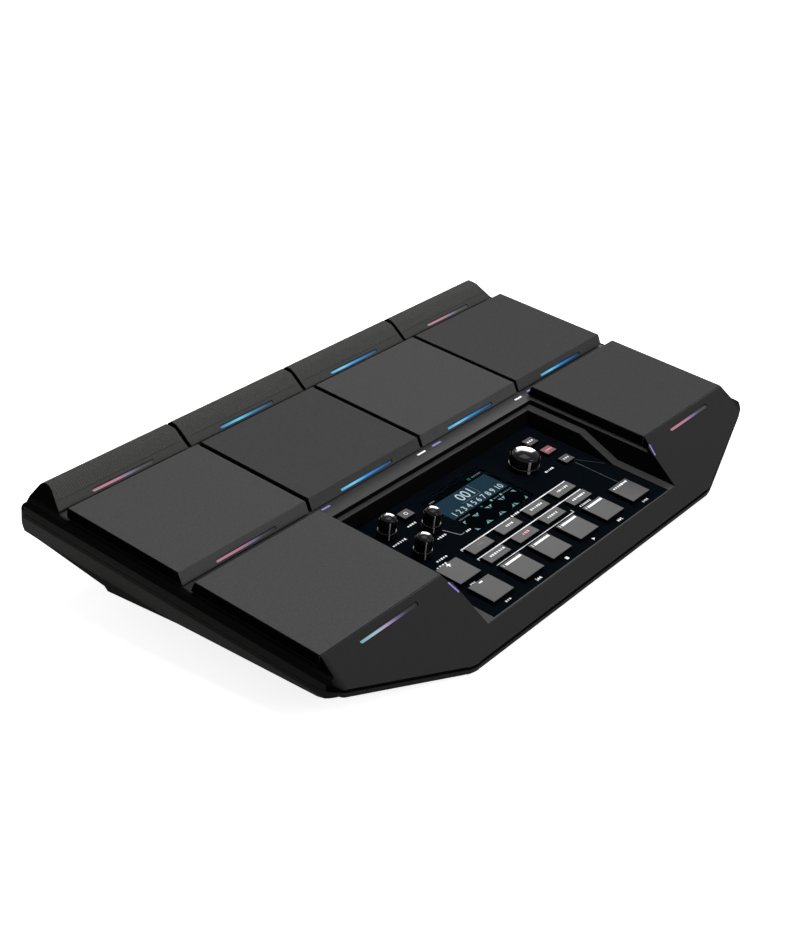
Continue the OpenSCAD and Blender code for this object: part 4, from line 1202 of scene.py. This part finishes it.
@dataclass
class ButtonSet:
    """The nineteen buttons with the marks on their faces."""

    large_rise: float = 2.5
    small_rise: float = 2.0
    side_limit: float = 0.6
    track_bar: tuple[float, float, float, float] = (-6.3, 8.6, -104.4, 1.5)
    track_digit: tuple[float, float, float] = (-8.7, -105.1, 1.7)
    click_ring: tuple[Point2, float, float] = ((-50.5, -32.0), 0.9, 1.4)
    shift_row: tuple[float, ...] = (64.4, 80.0, -104.5, 1.7, 7, 31)
    sign_width: float = 0.9
    minus_width: float = 1.0
    dash_height: float = 1.6
    dash_pitch: float = 2.1
    first_seed: int = 40
    rows: Rows = (
        ("mode_button_1", -45.9, -41.1, -81.3, Finish.GREY), ("mode_button_2", -18.2, -10.8, -81.3, Finish.WHITE),
        ("mode_button_3", 7.3, 19.9, -81.5, Finish.WHITE), ("mode_button_4", 36.4, 48.3, -81.3, Finish.WHITE),
        ("edit_button_1", -50.6, -36.2, -93.0, Finish.WHITE), ("edit_button_2", -18.0, -10.9, -93.0, Finish.RED),
        ("edit_button_3", 7.9, 18.6, -93.4, Finish.WHITE), ("edit_button_4", 35.5, 49.6, -93.2, Finish.LAMP),
        ("side_button_1", 72.0, 78.6, -35.1, Finish.LAMP), ("side_button_2", 71.8, 79.6, -49.0, Finish.RED),
        ("side_button_3", 72.1, 78.7, -62.6, Finish.WHITE))

    def mark(self, node: str, ink: Finish = Finish.LAMP, rise: float | None = None) -> Print:
        """Starts a print on a button's face."""
        return Print(Piece(f"{node}_mark", node, ink), DECK.panel_top + (rise or self.large_rise))

    def build(self) -> None:
        """Dresses every button, with painted shade on its sides, and marks it."""
        up = DECK.up()
        for node in sorted(n for n in frame["nodes"] if "button" in n and n != "button_switches"):
            face = Finish.ROSE if node == "side_button_2" else Finish.BUTTON
            cap = Polish(0.35, 2, 0.3).apply(node, f"{node}_cap", face, "button_grey")
            # Painted shade: the caps' steep sides take a near-black copy of the plastic.
            sort_faces(cap, [Finish.WALL], lambda side: int(side.normal.dot(up) < self.side_limit))
        self.large_marks()
        for seed, (node, left, right, v, ink) in enumerate(self.rows, self.first_seed):
            mark = self.mark(node, ink, self.small_rise)
            mark.dashes(left, right, v, self.dash_height, max(3, round((right - left) / self.dash_pitch)), seed)
            mark.finish()

    def large_marks(self) -> None:
        """Marks the track buttons with a lit bar and a number, and the other large buttons and the click button."""
        left, right, v, width = self.track_bar
        inset, base, height = self.track_digit
        for i, u in enumerate(DECK.tracks, 1):
            lit = self.mark(f"track_button_{i}")
            lit.line(((u + left, v), (u + right, v)), width)
            lit.digits(str(i), (u + inset, base), height)
            lit.finish()
        shift = self.mark("shift_button")
        shift.dashes(*self.shift_row)
        plus = self.mark("plus_button")
        for ends in (((-76.9, -81.6), (-73.7, -81.6)), ((-75.3, -83.2), (-75.3, -82.05)),
                     ((-75.3, -81.15), (-75.3, -80.0))):
            plus.line(ends, self.sign_width)
        minus = self.mark("minus_button")
        minus.line(((-76.8, -104.0), (-73.8, -104.0)), self.minus_width)
        click = self.mark("click_button", Finish.WHITE, self.small_rise)
        click.ring(*self.click_ring)
        for mark in (shift, plus, minus, click):
            mark.finish()


@dataclass
class DisplayUnit:
    """The display's glass with the lit screen under it."""

    screen_w: float = -21.75
    layer_step: float = 0.07
    tile_u: tuple[float, ...] = (-22.8, -9.9, 3.6, 17.2)
    tile_v: float = -63.9
    cusp: tuple[Point2, ...] = ((6.1, 3.0), (6.1, 5.6), (3.4, 5.6), (4.3, 5.05), (5.1, 4.35), (5.7, 3.65))
    fields: Rows = (
        ("display_screen", Finish.SCREEN, 0, -30.8, 25.2, -69.8, -30.2),
        ("display_header", Finish.HEADER, 1, -30.6, 25.0, -53.4, -35.2))
    rows: Rows = (
        (-28.0, -22.6, -32.6, 1.3, 3), (15.6, 24.6, -32.4, 1.4, 5), (-29.6, -18.4, -55.9, 1.3, 6),
        (6.0, 11.4, -56.1, 1.1, 3), (15.8, 24.8, -56.1, 1.1, 5))
    first_seed: int = 72
    frame_width: float = 0.25
    number: tuple[str, Point2, float] = ("001", (-10.6, -44.6), 7.4)
    scale: tuple[str, Point2, float] = ("1 2 3 4 5 6 7 8 9 10", (-27.4, -52.2), 4.4)
    dots_u: tuple[float, float] = (3.6, 13.6)
    dots_v: float = -56.0
    dot_half: float = 0.9
    dot_height: float = 1.6

    def build(self) -> None:
        """Makes the glass and the screen's fields, numbers, dashes, flags and tiles."""
        Polish(0.2).apply("display_lens", "display_cover", Finish.GLASS, "display_glass")
        for name, finish, step, left, right, low, high in self.fields:
            base = self.layer(name, finish, step)
            base.block([(left, low), (right, low), (right, high), (left, high)])
            base.finish()
        text = self.layer("display_figures", Finish.DIGITS, 2)
        text.digits(*self.number)
        text.digits(*self.scale)
        text.finish()
        bounds = self.layer("display_frame", Finish.DIM, 2)
        for ends in (((-12.4, -46.2), (6.2, -46.2)), ((6.2, -46.0), (6.2, -35.6))):
            bounds.line(ends, self.frame_width)
        bounds.finish()
        small = self.layer("display_status", Finish.DIM)
        for seed, row in enumerate(self.rows, self.first_seed):
            small.dashes(*row, seed)
        small.finish()
        flags = self.layer("display_flags", Finish.GREEN)
        flags.line(((11.8, -32.3), (14.0, -32.3)), 2.0)
        flags.line(((-7.4, -56.0), (-5.6, -56.0)), 1.4)
        flags.finish()
        self.tiles()

    def layer(self, name: str, ink: Finish, step: int = 1) -> Print:
        """Starts a print on the screen, some steps over its base."""
        return Print(Piece(name, "case", ink), self.screen_w + self.layer_step * step)

    def tiles(self) -> None:
        """Makes the four dial tiles, each with four bright corners, and the two marks over them."""
        cyan = self.layer("display_tiles", Finish.CYAN)
        for u in self.tile_u:
            for across, along in ((1, 1), (-1, 1), (-1, -1), (1, -1)):
                cyan.block([(u + across * x, self.tile_v + along * y) for x, y in self.cusp])
        for u in self.dots_u:
            cyan.line(((u - self.dot_half, self.dots_v), (u + self.dot_half, self.dots_v)), self.dot_height)
        cyan.finish()


@dataclass
class Knob:
    """A turned knob with a ribbed grip and a pointer."""

    node: str
    place: Point2
    foot_radius: float
    foot_height: float
    grip_radius: float
    height: float
    ribs: int
    dots: int
    core: tuple[Point2, ...]
    pointer_width: float
    dome: float = 0.16
    lift: float = 0.5
    rib_radius: float = 0.26
    dot_radius: float = 0.24
    pointer_deg: float = 232.0
    pointer_depth: float = 0.7
    pointer_foot: float = 1.2
    crease_deg: float = 35.0

    def rim(self) -> float:
        """Returns the height of the grip's upper end over the panel."""
        return (1.0 - self.dome) * self.height

    def outline(self) -> list[Point2]:
        """Draws the outline to turn, with a domed top.

        Returns:
            Radius and height over the panel, from the axis below to the axis above.
        """
        r, base, foot, rim = self.grip_radius, self.foot_radius, self.lift + self.foot_height, self.rim()
        dome = [((r - 0.2) * math.cos(a), rim + (self.height - rim) * math.sin(a))
                for a in (math.radians(d) for d in range(6, 90, 6))]
        return [*self.core, (base - 0.3, self.lift), (base, self.lift + 0.3), (base, foot - 0.5),
                (base - 0.15, foot - 0.15), (base - 0.5, foot), (r, foot), (r, rim - 0.3), (r - 0.12, rim), *dome,
                (0.0, self.height)]

    def build(self, tree: Graph) -> None:
        """Makes the knob's body, ribs and pointer, and a ring of pale dots painted as glints on the ribs' lower ends.

        Args:
            tree: The node tree that sets rods on a circle.
        """
        move = DECK.matrix() @ Matrix.Translation((*self.place, DECK.panel_top))
        bm = bmesh.new()
        lathe(bm, self.outline())
        bm.transform(move)
        soften(bm, self.crease_deg)
        Piece(f"{self.node}_body", self.node, Finish.KNOB, "knob_black", self.node).make(bm)
        foot, rim = self.lift + self.foot_height, self.rim()
        Piece(f"{self.node}_ribs", self.node, Finish.GRIP, "knob_black").grow(
            tree, move, Count=self.ribs, Ring=self.grip_radius - 0.05, Radius=self.rib_radius, Foot=foot + 0.4,
            Height=rim - foot - 1.0, Sides=6)
        # Painted highlight: pale dots stand for the glints on the ribs' lower ends.
        Piece(f"{self.node}_dots", self.node, Finish.GREY).grow(
            tree, move, Count=self.dots, Ring=(self.grip_radius + self.foot_radius) / 2, Radius=self.dot_radius,
            Foot=foot - 0.1, Height=0.18, Sides=8)
        self.pointer(move @ Matrix.Rotation(math.radians(self.pointer_deg), 4, "Z"))

    def pointer(self, move: Matrix) -> None:
        """Sets the pointer on the side of the grip and the foot.

        Args:
            move: The pointer's place.
        """
        bm = bmesh.new()
        foot = self.lift + self.foot_height
        for radius, low, high in ((self.grip_radius, foot, self.rim() - 0.3),
                                  (self.foot_radius, self.pointer_foot, foot - 0.4)):
            box(bm, (self.pointer_depth, self.pointer_width, high - low), (radius - 0.02, 0.0, (low + high) / 2))
        ease(bm, bm.edges[:], 0.08)
        bm.transform(move)
        soften(bm)
        Piece(f"{self.node}_pointer", self.node, Finish.POINTER).make(bm)


@dataclass
class KnobSet:
    """The three volume knobs and the encoder's knob."""

    volumes: tuple[Point2, ...] = ((-75.7, -37.5), (-50.5, -50.5), (-75.7, -63.5))
    dial: Point2 = (48.0, -49.0)
    stem: tuple[Point2, ...] = ((0.0, -7.6), (3.0, -7.6), (3.0, 0.5))
    bore: tuple[Point2, ...] = ((0.0, 7.4), (3.25, 7.4), (3.25, 0.5))

    def build(self) -> None:
        """Makes every knob."""
        tree = ring_tree()
        for i, place in enumerate(self.volumes, 1):
            Knob(f"volume_knob_{i}", place, 5.9, 4.6, 5.1, 15.0, 26, 34, self.stem, 0.7).build(tree)
        Knob("encoder_knob", self.dial, 10.0, 3.0, 9.4, 13.0, 44, 52, self.bore, 1.6, 0.27).build(tree)


@dataclass
class RearSockets:
    """The sockets in the base's rear wall."""

    wall_y: float = 62.748
    jack_z: float = 15.1
    jacks: tuple[float, ...] = (-118.0, -96.0, -74.0, -52.0, -30.0, -8.0)
    nut: tuple[Point2, ...] = ((4.85, 0.0), (6.5, 0.0), (6.5, 1.1), (6.2, 1.5), (5.2, 1.5), (4.85, 1.2))
    nut_steps: int = 40
    tongue_size: Point3 = (5.6, 9.0, 3.0)
    tongue_at: Point3 = (20.0, 55.148, 15.0)
    pin: tuple[Point2, ...] = ((0.0, 0.0), (1.0, 0.0), (1.0, 8.4), (0.7, 9.0), (0.0, 9.2))
    pin_steps: int = 20
    pin_u: float = 52.0
    pin_depth: float = 13.0

    def build(self) -> None:
        """Dresses the sockets and adds the jacks' ring nuts, the data socket's tongue and the supply inlet's pin."""
        Polish(0.25, 2, 0.3).apply("audio_jacks", "socket_audio", Finish.DARK, "switch_black")
        Polish(0.2, 2, 0.3).apply("data_sockets", "socket_data", Finish.METAL, "part_metal")
        Polish(0.4, 2, 0.3).apply("power_switch", "socket_power_cap", Finish.DARK, "switch_black")
        nuts, tongue, pin = bmesh.new(), bmesh.new(), bmesh.new()
        for u in self.jacks:
            lathe(nuts, self.nut, self.nut_steps, True, self.rearward(u, 0.0))
        box(tongue, self.tongue_size, self.tongue_at)
        ease(tongue, tongue.edges[:], 0.3)
        lathe(pin, self.pin, self.pin_steps, move=self.rearward(self.pin_u, -self.pin_depth))
        for bm, name, finish, slot in ((nuts, "socket_nuts", Finish.METAL, "part_metal"),
                                       (tongue, "socket_data_tongue", Finish.DARK, "switch_black"),
                                       (pin, "socket_inlet_pin", Finish.METAL, "part_metal")):
            bm.transform(Matrix.Scale(MM, 4))
            soften(bm)
            Piece(name, "case", finish, slot).make(bm)

    def rearward(self, u: float, out: float) -> Matrix:
        """Returns the place of an axis that leaves the rear wall, at u and some way out of the wall."""
        return Matrix.Translation((u, self.wall_y + out, self.jack_z)) @ Matrix.Rotation(-math.pi / 2, 4, "X")


@dataclass
class InnerParts:
    """The CAD nodes inside the case, which keep their own shape."""

    finishes: Rows = (
        ("panel_board", Finish.BOARD), ("main_board", Finish.BOARD), ("pad_cushions", Finish.FOAM),
        ("pad_sensors", Finish.FILM), ("button_switches", Finish.DARK), ("display_module", Finish.MODULE),
        ("volume_pots", Finish.METAL), ("encoder_body", Finish.METAL), ("encoder_shaft", Finish.METAL))

    def build(self) -> None:
        """Gives each inner node its finish."""
        for node, finish in self.finishes:
            obj = frame["nodes"][node]
            if not obj.material_slots:
                obj.data.materials.append(finish.material)
            for slot in obj.material_slots:
                slot.material = finish.material
            LOG.info("%s keeps its solid", node)


@dataclass(frozen=True)
class Lamp:
    """A square soft lamp: where it stands, what it faces, its side and its power, and whether only gloss shows it."""

    name: str
    at: Point3
    aim: Point3
    size: float
    power: float
    gloss_only: bool = False

    def build(self) -> None:
        """Sets the lamp up."""
        data = bpy.data.lights.new(self.name, "AREA")
        data.size = self.size
        data.energy = self.power
        obj = linked(self.name, data)
        obj.location = self.at
        obj.rotation_euler = (Vector(self.aim) - Vector(self.at)).to_track_quat("-Z", "Y").to_euler()
        obj.visible_diffuse = obj.visible_transmission = not self.gloss_only


@dataclass
class Studio:
    """The floor, the lamps and the camera."""

    eye: Point3 = (-0.729702, -0.541258, 0.498082)
    right: Point3 = (0.61441467, -0.78896772, 0.00495429)
    up: Point3 = (0.36014594, 0.28604233, 0.88796097)
    lens: float = 63.034
    ambient: float = 0.2
    floor_half: float = 8.0
    floor_pale: float = 0.8
    floor_shine: float = 0.85
    floor_bounce: float = 0.06
    lamps: tuple[Lamp, ...] = (
        Lamp("key", (0.9, 1.0, 1.2), (0.0, 0.0, 0.04), 0.4, 6.0),
        Lamp("overhead", (0.22, -0.05, 1.35), (-0.05, 0.0, 0.04), 0.8, 9.0),
        Lamp("front", (0.12, -1.5, 0.9), (-0.08, 0.0, 0.04), 0.65, 9.5),
        Lamp("rear", (0.3, 1.6, 0.6), (0.0, 0.1, 0.03), 0.8, 5.0),
        Lamp("card", (1.42, 0.73, 0.8), (0.0, -0.05, 0.04), 0.9, 95.0, gloss_only=True))

    def build(self) -> None:
        """Sets up the world, the floor, the lamps and the camera."""
        bpy.context.scene.view_settings.view_transform = "Standard"
        self.world()
        self.floor()
        for lamp in self.lamps:
            lamp.build()
        self.camera()

    def seen(self, graph: Graph) -> NodeSocket:
        """Tells the rays that see the background from those that only carry light.

        Args:
            graph: The tree that asks.

        Returns:
            1 for the first and 0 for the second.
        """
        rays = graph.add("ShaderNodeLightPath").outputs
        gloss = graph.math("MAXIMUM", rays["Is Glossy Ray"], rays["Is Transmission Ray"])
        return graph.math("MAXIMUM", rays["Is Camera Ray"], gloss)

    def world(self) -> None:
        """Makes a white surround that lights the object softly."""
        world = bpy.data.worlds.new("surround")
        bpy.context.scene.world = world
        world.use_nodes = True
        graph = Graph(world.node_tree)
        level = graph.ranged(self.seen(graph), (0.0, 1.0), (self.ambient, 1.0))
        graph.feed(world.node_tree.nodes["Background"], {"Color": (1.0, 1.0, 1.0, 1.0), "Strength": level})

    def floor(self) -> None:
        """Makes a pale floor that keeps the object's shadow."""
        mesh = bpy.data.meshes.new("floor")
        h = self.floor_half
        mesh.from_pydata([(-h, -h, 0.0), (h, -h, 0.0), (h, h, 0.0), (-h, h, 0.0)], [], [(0, 1, 2, 3)])
        graph = Shader("floor_pale")
        nodes = graph.tree.nodes
        nodes.remove(nodes["Principled BSDF"])
        pale, dim = (graph.make("ShaderNodeBsdfDiffuse", {"Color": (level, level, level, 1.0)})
                     for level in (self.floor_pale, self.floor_bounce))
        shine = graph.make("ShaderNodeEmission", {"Color": (1.0, 1.0, 1.0, 1.0), "Strength": self.floor_shine})
        bright = graph.make("ShaderNodeAddShader", {0: pale, 1: shine})
        mixed = graph.make("ShaderNodeMixShader", {0: self.seen(graph), 1: dim, 2: bright})
        graph.feed(nodes["Material Output"], {"Surface": mixed})
        mesh.materials.append(graph.material)
        obj = linked("floor", mesh)

    def camera(self) -> None:
        """Sets the camera at the photograph's angle."""
        right, up = Vector(self.right), Vector(self.up)
        data = bpy.data.cameras.new("camera")
        data.lens = self.lens
        obj = linked("camera", data)
        turn = Matrix((right, up, right.cross(up))).transposed().to_4x4()
        obj.matrix_world = Matrix.Translation(self.eye) @ turn
        bpy.context.scene.camera = obj


def main() -> None:
    """Builds the studio and the classes in order."""
    logging.basicConfig(level=logging.INFO, format="%(name)s: %(message)s")
    Studio().build()
    for assembly in (CaseShells(), PadSet(), LightSet(), ControlPanel(), ButtonSet(), DisplayUnit(), KnobSet(),
                     RearSockets(), InnerParts()):
        LOG.info("building %s", type(assembly).__name__)
        assembly.build()


if __name__ == "__main__":
    main()
